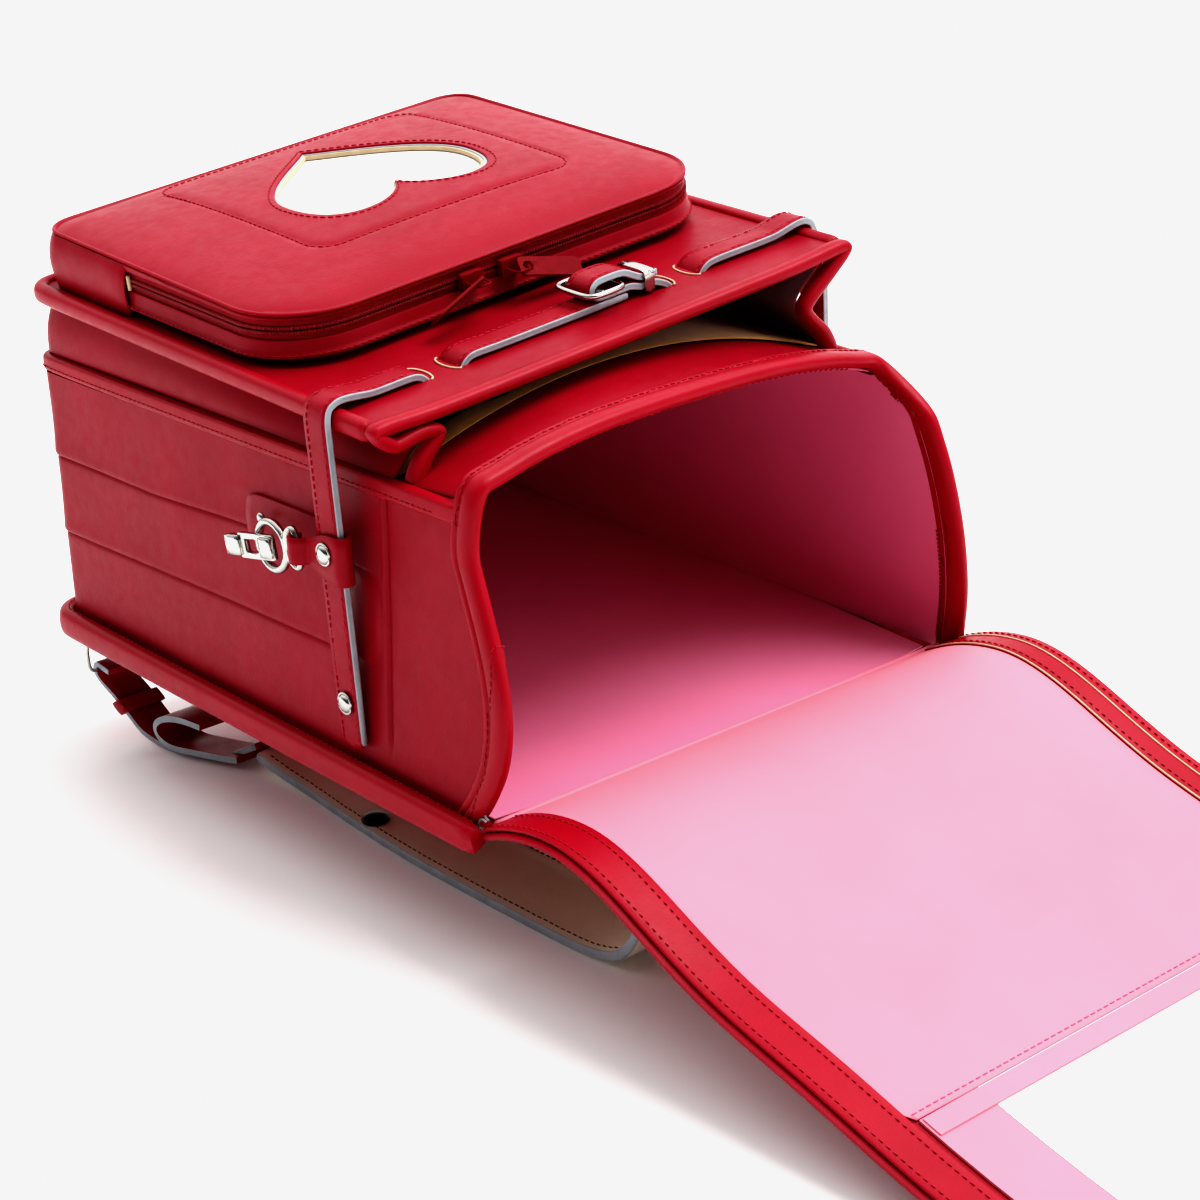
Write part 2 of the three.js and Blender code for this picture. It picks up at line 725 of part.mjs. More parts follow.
// Outline of the pocket seen from above, pulled in by an inset, anticlockwise from the far front
function pocketOutline(inset) {
  const side = pocketWidth / 2 - inset;
  const front = pocketFront + inset;
  const back = pocketFront + pocketLength - inset;
  const corner = (x, y, radius, from, count) => steps(count).map((part) => {
    const angle = from + part * Math.PI / 2;
    return [x + radius * Math.cos(angle), y + radius * Math.sin(angle)];
  });
  const big = Math.max(2, pocketFrontRadius - inset);
  const small = Math.max(1, pocketBackRadius - inset);
  const middle = (a, b) => [[(a[0] + b[0]) / 2, (a[1] + b[1]) / 2]];
  const farFront = corner(side - big, front + big, big, -Math.PI / 2, 6);
  const farBack = corner(side - small, back - small, small, 0, 3);
  const nearBack = corner(-side + small, back - small, small, Math.PI / 2, 3);
  const nearFront = corner(-side + big, front + big, big, Math.PI, 6);
  return [
    ...farFront, ...middle(farFront[6], farBack[0]), ...farBack,
    ...middle(farBack[3], nearBack[0]), ...nearBack,
    ...middle(nearBack[3], nearFront[0]), ...nearFront, ...middle(nearFront[6], farFront[0]),
  ];
}

const pocketFloor = boardThick / 2 + gap;

function alongPocket(along) {
  return share((along - pocketFront) / pocketLength);
}

// Heights over the board's middle: under the zip, over the zip and at the lid's rounded edge
function zipFoot(along) {
  return pocketFloor + baseHeight + zipRise * alongPocket(along);
}

function zipTop(along) {
  return zipFoot(along) + gap + zipHeight;
}

function lidEdge(along) {
  return zipTop(along) + gap + mix(lidHeightFront, lidHeightBack, alongPocket(along));
}

function ringWall(outside, thick, foot, top) {
  const rows = (inset) => [foot, top].map((height) => pocketOutline(inset)
    .map(([x, y]) => vec(x, y, height(y))));
  return shell(rows(outside), rows(outside + thick), true);
}
piece('pocket_base', ringWall(0, lidWall, () => pocketFloor, zipFoot), crimson, board);

// The zip is a tape with its row of teeth standing proud along the middle
function makeZip() {
  const rows = [
    { up: 0, out: 0 }, { up: 0.5, out: 1 }, { up: 1, out: 0 },
  ];
  const teeth = 1.2;
  const tapeInset = 1.8;
  const face = (behind) => rows.map((row) => pocketOutline(
    behind ? tapeInset + lining : tapeInset - teeth * row.out)
    .map(([x, y]) => vec(x, y, mix(zipFoot(y) + gap, zipTop(y), row.up))));
  return shell(face(false), face(true), true);
}
piece('pocket_zip', makeZip(), crimsonDark, board);

function lidHeight(x, y) {
  const across = share(Math.abs(2 * x) / pocketWidth);
  const along = Math.abs(2 * alongPocket(y) - 1);
  return lidEdge(y) + lidCrown * (1 - across ** 2.5) * (1 - along ** 2.5);
}

function makeLid() {
  const centre = [0, pocketFront + pocketLength / 2];
  const lift = 0.4;
  const face = (wall) => {
    const rings = [];
    const foot = pocketOutline(wall);
    rings.push(foot.map(([x, y]) => vec(x, y, zipTop(y) + gap)));
    rings.push(foot.map(([x, y]) => vec(x, y, lidEdge(y) - lidRound * lift)));
    for (const row of [{ in: 0.3, up: 0.75 }, { in: 1, up: 1 }]) {
      const ring = pocketOutline(wall + lidRound * row.in);
      rings.push(ring.map(([x, y]) => vec(
        x, y, lidHeight(x, y) - wall - lidRound * lift * (1 - row.up) * (wall > 0 ? 0 : 1))));
    }
    const last = pocketOutline(wall + lidRound);
    for (const part of [0.7, 0.35]) {
      rings.push(last.map(([x, y]) => {
        const px = mix(centre[0], x, part);
        const py = mix(centre[1], y, part);
        return vec(px, py, lidHeight(px, py) - wall);
      }));
    }
    return rings;
  };
  return cup(face(0), face(lidWall), centre);
}

// A dish: outer and inner rings from the rim to a middle point on each face
function cup(outer, inner, centre) {
  const count = outer[0].length;
  const points = [...outer.flat(), ...inner.flat()];
  const faces = [];
  const at = (side, i, j) => (side * outer.length + i) * count + (j % count);
  const poles = [0, 1].map((side) => {
    const height = lidHeight(centre[0], centre[1]) - side * lidWall;
    return points.push(vec(centre[0], centre[1], height)) - 1;
  });
  for (let j = 0; j < count; j++) {
    for (let i = 0; i < outer.length - 1; i++) {
      faces.push([at(0, i, j), at(0, i, j + 1), at(0, i + 1, j + 1)]);
      faces.push([at(0, i, j), at(0, i + 1, j + 1), at(0, i + 1, j)]);
      faces.push([at(1, i, j), at(1, i + 1, j + 1), at(1, i, j + 1)]);
      faces.push([at(1, i, j), at(1, i + 1, j), at(1, i + 1, j + 1)]);
    }
    const last = outer.length - 1;
    faces.push([at(0, last, j), at(0, last, j + 1), poles[0]]);
    faces.push([at(1, last, j), poles[1], at(1, last, j + 1)]);
    faces.push([at(0, 0, j), at(1, 0, j), at(1, 0, j + 1)]);
    faces.push([at(0, 0, j), at(1, 0, j + 1), at(0, 0, j + 1)]);
  }
  return solid(points, faces);
}

// Heart with its point towards the bottom of the bag
function heartShape(grow) {
  const w = heartWidth + 2 * grow;
  const l = heartLength + 2 * grow;
  const shape = new THREE.Shape();
  shape.moveTo(0, -0.28 * l);
  shape.bezierCurveTo(0.08 * w, -0.5 * l, 0.5 * w, -0.62 * l, 0.5 * w, -0.15 * l);
  shape.bezierCurveTo(0.5 * w, 0.1 * l, 0.18 * w, 0.3 * l, 0, 0.5 * l);
  shape.bezierCurveTo(-0.18 * w, 0.3 * l, -0.5 * w, 0.1 * l, -0.5 * w, -0.15 * l);
  shape.bezierCurveTo(-0.5 * w, -0.62 * l, -0.08 * w, -0.5 * l, 0, -0.28 * l);
  return shape;
}

function makeHeart() {
  const tall = 30;
  const cutter = plate(heartShape(0), tall, heartSteps);
  cutter.translate(heartOffset, heartCentre, zipTop(heartCentre));
  piece('pocket_lid', toGeometry(toSolid(makeLid()).subtract(toSolid(cutter))), crimson, board);
  const low = lidHeight(heartWidth / 2, heartCentre + heartLength / 2) - lidWall;
  const edgeShape = heartShape(-gap);
  edgeShape.holes.push(heartShape(-heartEdging));
  const edge = piece('heart_edging', plate(edgeShape, lidWall, heartSteps), grey, board);
  const inlay = piece('heart_inlay', plate(heartShape(3), lining, heartSteps), white, board);
  const drop = lidCrown * 0.5 + lining + gap;
  edge.position.set(heartOffset, heartCentre, low - drop + lining + gap);
  inlay.position.set(heartOffset, heartCentre, low - drop);
}
makeHeart();

// Rounded leather tabs that cover the ends of the zip, one on each side at the back
function makePocketTab(side) {
  const start = pocketFront + pocketLength - pocketBackRadius - pocketTabLength;
  const end = pocketFront + pocketLength - pocketBackRadius;
  const x = side * (pocketWidth / 2 + gap);
  const grid = (out) => steps(3).map((up) => steps(3).map((part) => {
    const y = mix(start, end, part);
    const z = mix(pocketFloor + 2, lidEdge(y) - lidRound, up);
    const slant = (1 - part) * up * 6;
    return vec(x + side * out, y + slant, z);
  }));
  return shell(grid(0), grid(lidWall));
}
piece('pocket_tab_near', makePocketTab(-1), crimson, board);
piece('pocket_tab_far', makePocketTab(1), crimson, board);

// Zip sliders on the front of the pocket, each with a flat pull that hangs down to the board
const sliderFront = pocketFront;
const sliderHeight = zipFoot(pocketFront) + zipHeight / 2;
const sliderDepth = 4;
const archReach = 3.6;          // half the length of the arch

// A slider with the wire arch that its pull hangs on
function makeSlider(x) {
  const body = new THREE.BoxGeometry(sliderLength, sliderDepth, zipHeight);
  body.translate(0, -gap - sliderDepth / 2, 0);
  const front = -gap - sliderDepth;
  const route = [[-1, 0.5], [-1, -archDepth * 0.85], [-0.7, -archDepth], [0.7, -archDepth],
    [1, -archDepth * 0.85], [1, 0.5]].map(([a, b]) => vec(a * archReach, front + b, 0));
  const arch = sweep(route, ovalSection(2 * archWire, 2 * archWire, 6), vec(0, 0, 1));
  const joined = toGeometry(toSolid(body).add(toSolid(arch)));
  return joined.translate(x, sliderFront, sliderHeight);
}

// A pull lies off its slider along one direction, its width along another
function makePull() {
  const shape = rounded(pullLength, pullWidth, pullThick * 2);
  const eye = -pullLength / 2 + pullWidth / 2;
  shape.holes.push(new THREE.Path().absarc(eye, 0, pullEye, 0, Math.PI * 2, true));
  return plate(shape, pullThick, 3).translate(-eye, 0, -pullThick / 2);
}

const pullLies = {
  near: { along: vec(-0.93, -0.22, -0.2), wide: vec(0, 0.75, -0.66) },
  far: { along: vec(0.96, -0.06, -0.27), wide: vec(0.14, 0.72, 0.68) },
};
function placePull(name, x, lie) {
  const mesh = piece(name, makePull(), crimsonDark, board);
  const along = lie.along.clone().normalize();
  const flat = along.clone().cross(lie.wide).normalize();
  mesh.quaternion.setFromRotationMatrix(
    new THREE.Matrix4().makeBasis(along, flat.clone().cross(along), flat));
  const leg = Math.sign(lie.along.x) * archReach;
  mesh.position.set(x + leg, sliderFront - sliderDepth - archDepth * 0.66, sliderHeight);
}

piece('zip_slider_near', makeSlider(sliderCentre - sliderSpread / 2), crimsonDark, board);
piece('zip_slider_far', makeSlider(sliderCentre + sliderSpread / 2), crimsonDark, board);
placePull('zip_pull_near', sliderCentre - sliderSpread / 2, pullLies.near);
placePull('zip_pull_far', sliderCentre + sliderSpread / 2, pullLies.far);

// Side belts: up the side, over the board's edge, down and up through a pair of slots

const onBoard = boardThick / 2 + beltGap + beltThick / 2;

function slotDip(middle, way) {
  const dip = [
    { out: 1.02, up: 1.04 }, { out: 0.74, up: 0.6 }, { out: 0.48, up: -0.4 }, { out: 0.22, up: -1 },
    { out: -0.22, up: -1 }, { out: -0.48, up: -0.4 }, { out: -0.74, up: 0.6 }, { out: -1.02, up: 1.04 },
  ];
  return dip.map((row) => boardPoint(middle - way * slotReach * row.out, beltOffset, onBoard * row.up));
}

// A belt stands from the foot of the side wall up to the board's edge, clear of the leaning wall
function beltPost(side, rise) {
  const y = boardFront + beltOffset;
  const foot = halfWidth(y, 0) + beltGap + beltThick / 2;
  const shift = side * boardShift;
  const head = boardWidth / 2 - shift + boardEdgeWidth / 2 + beltGap + beltThick / 2;
  const lift = boardPoint(side * boardWidth / 2, beltOffset, 0).z;
  return vec(side * mix(foot, Math.max(head, foot), rise), y, lift * rise);
}

function sideBeltRoute(side) {
  const edgeTop = boardEdgeHeight / 2 + 2 * beltGap + beltThick / 2;
  const edge = boardWidth / 2;
  const reach = boardEdgeWidth / 2 + 1.5 * beltGap + beltThick / 2;
  const post = [0.09, 0.25, 0.5, 0.75, 0.93].map((rise) => beltPost(side, rise));
  const bend = [[edge + reach, 1], [edge + reach * 0.7, edgeTop * 0.78], [edge, edgeTop + 0.3],
    [edge - 6, edgeTop], [edge - 16, onBoard + beltGap]]
    .map(([x, up]) => boardPoint(side * x, beltOffset, up));
  return [...post, ...bend];
}

function makeNearBelt() {
  const tip = [0.3, 0.6, 0.85, 1]
    .map((part) => boardPoint(mix(slotNear, nearTip, part), beltOffset, onBoard));
  const route = smooth([...sideBeltRoute(-1), ...slotDip(slotNear, 1), ...tip], fineSlack);
  return sweep(route, flatSection(beltWidth, beltThick), vec(0, 1, 0));
}

// The far belt doubles back round the buckle's bar and ends under the keeper
const foldLow = onBoard + beltThick + gap;
const foldHigh = foldLow + buckleGrip;
const keeperLow = onBoard + sheetMetal + 2 * gap;
const foldEnd = keeperLow + beltThick + 3 * gap;
const buckleBar = buckleCentre - buckleLength * 0.13;

function makeFarBelt() {
  const out = buckleBar - beltThick * 0.9;
  const middle = (foldLow + foldHigh) / 2;
  const loop = [[out + 31.5, keeperLow], [out + 25, keeperLow], [out + 20, foldLow],
    [out + 8, foldLow], [out + 3, foldLow + 0.4], [out + 0.6, middle - 1.6], [out, middle],
    [out + 0.6, middle + 1.6], [out + 3, foldHigh - 0.4], [out + 8, foldHigh],
    [out + 17, foldHigh - 0.5], [out + 25.5, foldEnd], [out + 34, foldEnd]]
    .map(([x, up]) => boardPoint(x, beltOffset, up));
  const route = smooth([...sideBeltRoute(1), ...slotDip(slotFar, -1).slice(0, 7), ...loop], fineSlack);
  return sweep(route, flatSection(beltWidth, beltThick), vec(0, 1, 0));
}
piece('side_belt_near', makeNearBelt(), crimson);
piece('side_belt_far', makeFarBelt(), crimson);

function ringLoft(points, normal, width) {
  const count = points.length;
  return loft(points.map((at, i) => {
    const ahead = points[(i + 1) % count].clone().sub(points[(i + count - 1) % count]).normalize();
    const out = ahead.clone().cross(normal).normalize();
    return ovalSection(width, width, 6).map(([a, b]) => at.clone()
      .addScaledVector(out, a).addScaledVector(normal, b));
  }), true);
}

function makeBuckle() {
  const outline = rounded(buckleLength, buckleWidth, 4).getPoints(1).slice(0, -1)
    .map((at) => vec(at.x, at.y, 0));
  const frame = toSolid(ringLoft(outline, vec(0, 0, 1), wire));
  const bar = new THREE.CylinderGeometry(barWire, barWire, buckleWidth - wire / 2, 6);
  bar.translate(buckleBar - buckleCentre, 0, 0);
  const mesh = piece('belt_buckle', toGeometry(frame.add(toSolid(bar))), nickel, board);
  mesh.position.set(buckleCentre, beltOffset, (foldLow + foldHigh) / 2);
}
makeBuckle();

// Metal keeper round the two layers of the far belt
function makeKeeper() {
  const high = foldEnd - keeperLow + beltThick + 2 * gap;
  const ring = (grow) => [[-1, -1], [1, -1], [1, 1], [-1, 1]]
    .map(([a, b]) => [a * (beltWidth / 2 + gap + grow), b * (high / 2 + grow)]);
  const rows = (grow) => [-0.5, 0.5].map((end) => ring(grow)
    .map(([a, b]) => vec(end * keeperLength, a, b)));
  const mesh = piece('belt_keeper', shell(rows(sheetMetal), rows(0), true), nickel, board);
  mesh.position.set(buckleBar + keeperBehind, beltOffset, (keeperLow + foldEnd) / 2);
}
makeKeeper();

function rivetGeometry() {
  const profile = [[0, 0], [0.5, 0], [0.5, 0.3], [0.4, 0.8], [0.2, 1], [0, 1]]
    .map(([r, h]) => new THREE.Vector2(r * rivetWidth, h * rivetRise));
  return new THREE.LatheGeometry(profile, 12);
}

function placeRivet(name, side, x, y, z) {
  const rivet = piece(name, rivetGeometry(), nickel);
  rivet.rotation.z = side < 0 ? Math.PI / 2 : -Math.PI / 2;
  rivet.position.set(side * x, y, z);
}

function beltRivets() {
  for (const [name, side] of [['rivet_belt_near', -1], ['rivet_belt_far', 1]]) {
    const at = beltPost(side, 0.22);
    placeRivet(name, side, Math.abs(at.x) + beltThick / 2 + 2 * gap, at.y, at.z);
  }
}
beltRivets();

// Snap hook: a leather tab folded round the near belt and round the hook's hinge bar

const beltAtHook = beltPost(-1, hookHeight / boardHeight);
const tabFace = Math.abs(beltAtHook.x) + beltThick / 2 + 2 * gap + tabThick / 2;
const hookPlane = tabFace + loopBore * 0.6;

function makeHookTab() {
  const behind = Math.abs(beltAtHook.x) - beltThick / 2 - 2 * gap - tabThick / 2;
  const front = beltAtHook.y - beltWidth / 2 - beltGap - tabThick;
  const fold = loopBore + tabThick / 2;
  const turn = (angle) => [hookPlane + fold * Math.cos(angle), hookBar + fold * Math.sin(angle)];
  const path = [
    [behind, beltAtHook.y], [behind, front + 2], [(behind + tabFace) / 2, front],
    [tabFace, front + 2], [tabFace, beltAtHook.y], [tabFace, beltAtHook.y + beltWidth / 2],
    [tabFace + 0.5, hookBar - fold - 1.5], ...[-0.9, 0, 0.9, 1.8, 2.6].map(turn),
  ].map(([x, y]) => vec(-x, y, hookHeight));
  const route = smooth(path, fineSlack);
  const width = (part) => {
    const over = share((part - 0.5) / 0.16);
    return mix(tabWidth, loopWidth, over);
  };
  return sweep(route, (part) => flatSection(width(part), tabThick), vec(0, 0, 1));
}
piece('hook_tab', makeHookTab(), crimson);
placeRivet('rivet_hook', -1, tabFace + tabThick / 2 + gap, beltAtHook.y, hookHeight + 2);

// Leather patch on the side panel behind the hook
function makePatch() {
  const start = hookBar - 3;
  const middle = hookHeight - 3.5;
  const rows = [{ up: -1, trim: 0.3 }, { up: -0.85, trim: 0.1 }, { up: -0.4, trim: 0 },
    { up: 0.4, trim: 0 }, { up: 0.85, trim: 0.1 }, { up: 1, trim: 0.3 }];
  const grid = (out) => rows.map((row) => steps(3).map((part) => {
    const trim = row.trim * patchHeight;
    const y = mix(start + trim, start + patchLength - trim, part);
    const z = middle + row.up * patchHeight / 2;
    return vec(-halfWidth(y, z) - gap - out, y, z);
  }));
  return shell(grid(lining * 1.4), grid(0));
}
piece('hook_patch', makePatch(), crimson);

// The hook hangs in its own group: along y from the hinge bar, z along the bar
const hook = new THREE.Group();
hook.position.set(-hookPlane, hookBar, hookHeight);
hook.rotation.x = -hookDrop;
bag.add(hook);

function makeHookRing() {
  const half = eyeHeight / 2 - wire / 2;
  const radius = (ringOuter - ringWire) / 2;
  const eyeEnd = ringBack - radius - ringWire * 0.2;
  const eye = [[0, -half], [0, half], [eyeEnd * 0.45, half], [eyeEnd, half * 0.5],
    [eyeEnd, -half * 0.5], [eyeEnd * 0.45, -half]].map(([y, z]) => vec(0, y, z));
  const ring = steps(15).slice(1).map((part) => vec(
    0, ringBack + radius * Math.cos(part * 2 * Math.PI), radius * Math.sin(part * 2 * Math.PI)));
  const out = vec(1, 0, 0);
  return toGeometry(toSolid(ringLoft(eye, out, wire)).add(toSolid(ringLoft(ring, out, ringWire))));
}
piece('hook_ring', makeHookRing(), nickel, hook);

// Thumb lever across the ring: a frame with a knob past the ring and a block at its pivot
function makeLever() {
  const slab = (from, to, width, thick, low) => {
    const box = new THREE.BoxGeometry(thick, to - from, width);
    return toSolid(box.translate(-low - thick / 2, (from + to) / 2, 0));
  };
  const rest = ringWire / 2 + gap;
  const end = leverStart + leverLength;
  const frame = slab(leverStart, end - 9, leverWidth, leverThick, rest)
    .subtract(slab(leverStart + 9, end - 13, leverWidth * 0.6, leverThick * 3, rest - leverThick));
  const knob = slab(end - 9.5, end, leverWidth * 0.8, leverThick * 1.6, rest);
  const block = slab(leverStart, leverStart + 8, leverWidth * 0.8, leverThick * 1.5, rest);
  return toGeometry(frame.add(knob).add(block));
}
piece('hook_lever', makeLever(), nickel, hook);

// Flap

// Underside of the flap from the hinge to the floor, as shares of the flap's length and the bag's
// height over the floor
const flapRows = [
  { out: 0.002, rise: 0.02 }, { out: 0.03, rise: 0.12 }, { out: 0.057, rise: 0.18 },
  { out: 0.106, rise: 0.20 }, { out: 0.153, rise: 0.09 }, { out: 0.19, rise: -0.05 },
  { out: 0.266, rise: -0.31 }, { out: 0.372, rise: -0.53 }, { out: 0.487, rise: -0.78 },
  { out: 0.6, rise: -0.95 }, { out: 0.69, rise: -1 }, { out: 0.82, rise: -1 }, { out: 0.965, rise: -1 },
];
const flapCurve = new THREE.CatmullRomCurve3(
  flapRows.map((row) => vec(0, -row.out * flapLength, row.rise * footHeight)), false, 'centripetal');
const flapArc = flapCurve.getLength();
const flapBend = flapArc - flapCorner;
const seamStart = (flapBend * seamStep) / flapSteps;

function flapPoint(x, along, lift) {
  const part = share(along / flapArc);
  const at = flapCurve.getPointAt(part);
  at.z = Math.max(at.z, -footHeight);
  const ahead = flapCurve.getTangentAt(part);
  const up = vec(0, ahead.z, -ahead.y);
  const hump = Math.sin(Math.PI * share(along / (flapArc * 0.6)));
  const far = farLift * hump * share((x / flapWidth) + 0.5);
  return at.add(vec(x, 0, far)).addScaledVector(up, lift);
}

// Half width of the flap at a distance along it, narrowed by an inset
function flapHalf(along, inset) {
  const half = flapWidth / 2 - inset;
  const radius = flapCorner - inset;
  const past = Math.max(0, along - flapBend);
  return half - radius + Math.sqrt(Math.max(0, radius ** 2 - past ** 2));
}

// Stations along the flap, the same for every layer so that the layers lie parallel
function flapStations(from, to, inset) {
  const straight = steps(flapSteps).map((part) => part * flapBend)
    .filter((along) => along > from + seamGap && along < to - seamGap);
  const radius = flapCorner - inset;
  const round = [0.35, 0.62, 0.82, 0.95, 1].map((part) => flapBend + part * radius);
  return [from, ...straight, ...(to > flapBend ? round : [to])];
}

function flapSheet(from, to, inset, low, thick) {
  const stations = flapStations(from, to, inset);
  const grid = (lift) => stations.map((along) => [-1, 0, 1].map(
    (across) => flapPoint(across * flapHalf(along, inset), along, lift)));
  return shell(grid(low + thick), grid(low));
}

const onFlap = flapCore + gap;
piece('flap', flapSheet(gap, flapArc, 0, 0, flapCore), crimson);
piece('flap_lining', flapSheet(gap, seamStart, borderWidth + borderInset + gap, onFlap, lining), pink);

// Red border that runs down one side, round the end and back up the other
function makeFlapBorder() {
  const stations = flapStations(seamGap, flapArc, borderInset);
  const sideRows = (inset) => stations.map((along) => {
    const reach = Math.min(along, flapArc - inset);
    return [reach, flapHalf(reach, inset)];
  });
  const edge = (inset, lift) => {
    const rows = sideRows(inset);
    const near = rows.map(([along, half]) => flapPoint(-half, along, lift));
    const far = rows.map(([along, half]) => flapPoint(half, along, lift)).reverse();
    return [...near, ...far];
  };
  const outer = borderInset;
  const inner = borderInset + borderWidth;
  const low = onFlap;
  const high = onFlap + lining * 1.4;
  return shell([edge(outer, high), edge(inner, high)], [edge(outer, low), edge(inner, low)]);
}
piece('flap_border', makeFlapBorder(), crimson);

function makeTimetable() {
  const sheetInset = borderWidth + borderInset + 2 * seamGap;
  const end = flapArc - sheetInset;
  const stations = flapStations(seamStart + gap, end, sheetInset)
    .filter((along) => along <= end);
  const strip = (fromSide, toSide, low, thick, list) => {
    const grid = (lift) => list.map((along) => [0, 0.5, 1].map((part) => {
      const half = flapHalf(along, sheetInset);
      const left = Math.max(-half, fromSide(half));
      const right = Math.min(half, toSide(half));
      return flapPoint(mix(left, right, part), along, lift);
    }));
    return shell(grid(low + thick), grid(low));
  };
  const bound = (half) => -half + Math.min(sheetFrame, half);
  const sheet = strip(bound, (half) => half, onFlap, lining, stations);
  piece('timetable_sheet', sheet, white);
  const frame = strip((half) => -half, (half) => bound(half) - gap, onFlap, lining, stations);
  piece('timetable_frame', frame, pink);
}
makeTimetable();

function makeTongue() {
  const shape = rounded(tongueWidth, tongueLength, tongueCorner);
  const tongue = piece('lock_tongue', plate(shape, leather), crimson);
  tongue.position.set(0, flapPoint(0, flapArc, 0).y - gap - tongueLength / 2, -footHeight);
  const plateShape = rounded(tongueWidth * 0.8, tongueLength * 0.6, lockPlateCorner);
  const slot = rounded(lockSlotWidth, lockSlotLength, lockPlateThick);
  plateShape.holes.push(new THREE.Path(slot.getPoints(2).reverse()));
  const metal = piece('lock_plate', plate(plateShape, lockPlateThick), nickel);
  metal.position.set(0, tongue.position.y - tongueLength * 0.12, -footHeight + leather + gap);
  const baseShape = rounded(lockBaseWidth, lockBaseLength, lockCorner);
  const base = piece('lock_base', plate(baseShape, lockBaseThick), nickel);
  base.rotation.x = -Math.PI / 2;
  base.position.set(0, bodyLength + gap, lockHeight);
}
makeTongue();

// Shoulder straps, with the carrier that joins them to the back

// Route of a strap: from the carrier forward, round below the hinge and back along the floor
const strapRows = [
  { y: 0.17, z: -0.105, splay: 0 }, { y: 0.06, z: -0.11, splay: 0.12 },
  { y: -0.03, z: -0.15, splay: 0.35 }, { y: -0.1, z: -0.3, splay: 0.65 },
  { y: -0.132, z: -0.55, splay: 0.85 }, { y: -0.11, z: -0.83, splay: 0.97 },
  { y: -0.04, z: -0.95, splay: 1 }, { y: 0.08, z: -1, splay: 1.03 }, { y: 0.3, z: -1, splay: 1.06 },
  { y: 0.45, z: -1, splay: 1 }, { y: 0.58, z: -0.98, splay: 1.02 }, { y: padEnd, z: -0.86, splay: 1.2 },
];

function strapPoint(side, row) {
  const x = mix(strapRoot, strapSplay, row.splay);
  const floor = -footHeight + strapThick / 2;
  return vec(side * x, row.y * bodyLength, Math.max(row.z * footHeight, floor));
}

function makeStrap(side) {
  const route = smooth(strapRows.map((row) => strapPoint(side, row)), slack)
    .map((at) => at.setZ(Math.max(at.z, -footHeight + strapThick / 2)));
  const width = (part) => strapWidth * mix(0.62, 1, share(part / 0.22))
    * mix(1, 0.6, share((part - 0.8) / 0.2));
  return sweep(route, (part) => flatSection(width(part), strapThick), vec(1, 0, 0));
}

// Narrow end of a strap, as shares of the way from the pad's end to the D-ring's lower bar: it
// runs back along the floor, curls up and is folded round the bar
const tailRows = [
  { out: 0.07, along: 0.02, rise: 0.3 }, { out: 0.25, along: 0.23, rise: 0.06 },
  { out: 0.45, along: 0.47, rise: 0 }, { out: 0.6, along: 0.68, rise: 0.02 },
  { out: 0.7, along: 0.83, rise: 0.16 }, { out: 0.76, along: 0.9, rise: 0.36 },
  { out: 0.84, along: 0.96, rise: 0.58 }, { out: 0.94, along: 1.03, rise: 0.8 },
];

const tailFloor = -footHeight + tailThick / 2;

function tailPoint(row) {
  const bar = dRingLower();
  const start = strapPoint(1, strapRows[strapRows.length - 1]);
  const z = mix(tailFloor, bar.z, row.rise);
  return vec(mix(start.x, bar.x, row.out), mix(start.y, bar.y, row.along), z);
}

function makeTail(side) {
  const bar = dRingLower();
  const turn = wire / 2 + 2 * gap + tailThick / 2;
  const way = tailRows.map(tailPoint);
  const fold = [[0.9, -0.6], [1, 0.2], [0.4, 0.95], [-0.6, 1], [-3, 0.7]]
    .map(([back, up]) => vec(bar.x, bar.y + back * turn, bar.z + up * turn));
  const route = smooth([...way, ...fold].map((at) => at.setX(side * at.x)), slack / 2)
    .map((at) => at.setZ(Math.max(at.z, tailFloor)));
  return sweep(route, flatSection(tailWidth, tailThick), vec(1, 0, 0));
}

// Leather keeper round the tail where it curls up
function makeTailKeeper(side) {
  const [low, high] = tailRows.slice(-3, -1).map(tailPoint).map((at) => at.setX(side * at.x));
  const ahead = high.clone().sub(low).normalize();
  const broad = vec(1, 0, 0);
  const deep = ahead.clone().cross(broad).normalize();
  const ring = (grow) => [[-1, -1], [1, -1], [1, 1], [-1, 1]].map(([a, b]) => [
    a * (tailWidth / 2 + 2 * gap + grow), b * (tailThick + gap + grow)]);
  const rows = (grow) => [-0.5, 0.5].map((end) => ring(grow).map(([a, b]) => low.clone().lerp(high, 0.5)
    .addScaledVector(ahead, end * tailKeeper).addScaledVector(broad, a).addScaledVector(deep, b)));
  return shell(rows(lining), rows(0), true);
}

// Lower and upper bars of a D-ring, which hangs below the back panel at the bottom of the bag
function dRingLower() {
  return vec(dRingSpread, bodyLength - dRingBack, -dRingDrop - dRingHeight);
}

function makeDRing(side) {
  const low = dRingLower();
  const outline = rounded(dRingWidth, dRingHeight, dRingCorner).getPoints(1).slice(0, -1)
    .map((at) => vec(side * low.x + at.x, low.y, low.z + dRingHeight / 2 + at.y));
  return ringLoft(outline, vec(0, 1, 0), wire);
}

// Leather tab under the back panel that holds a D-ring by its upper bar
function makeRingTab(side) {
  const low = dRingLower();
  const high = low.z + dRingHeight;
  const turn = wire / 2 + 2 * gap + tabThick / 2;
  const under = -tabThick / 2 - gap;
  const path = [
    [-ringTabLength, under], [-ringTabLength * 0.235, under], [turn * 0.4, high + turn],
    [turn, high], [turn * 0.4, high - turn], [-ringTabLength * 0.206, high - turn],
  ].map(([y, z]) => vec(side * low.x, low.y + y, z));
  return sweep(smooth(path, fineSlack), flatSection(tailWidth, tabThick), vec(1, 0, 0));
}

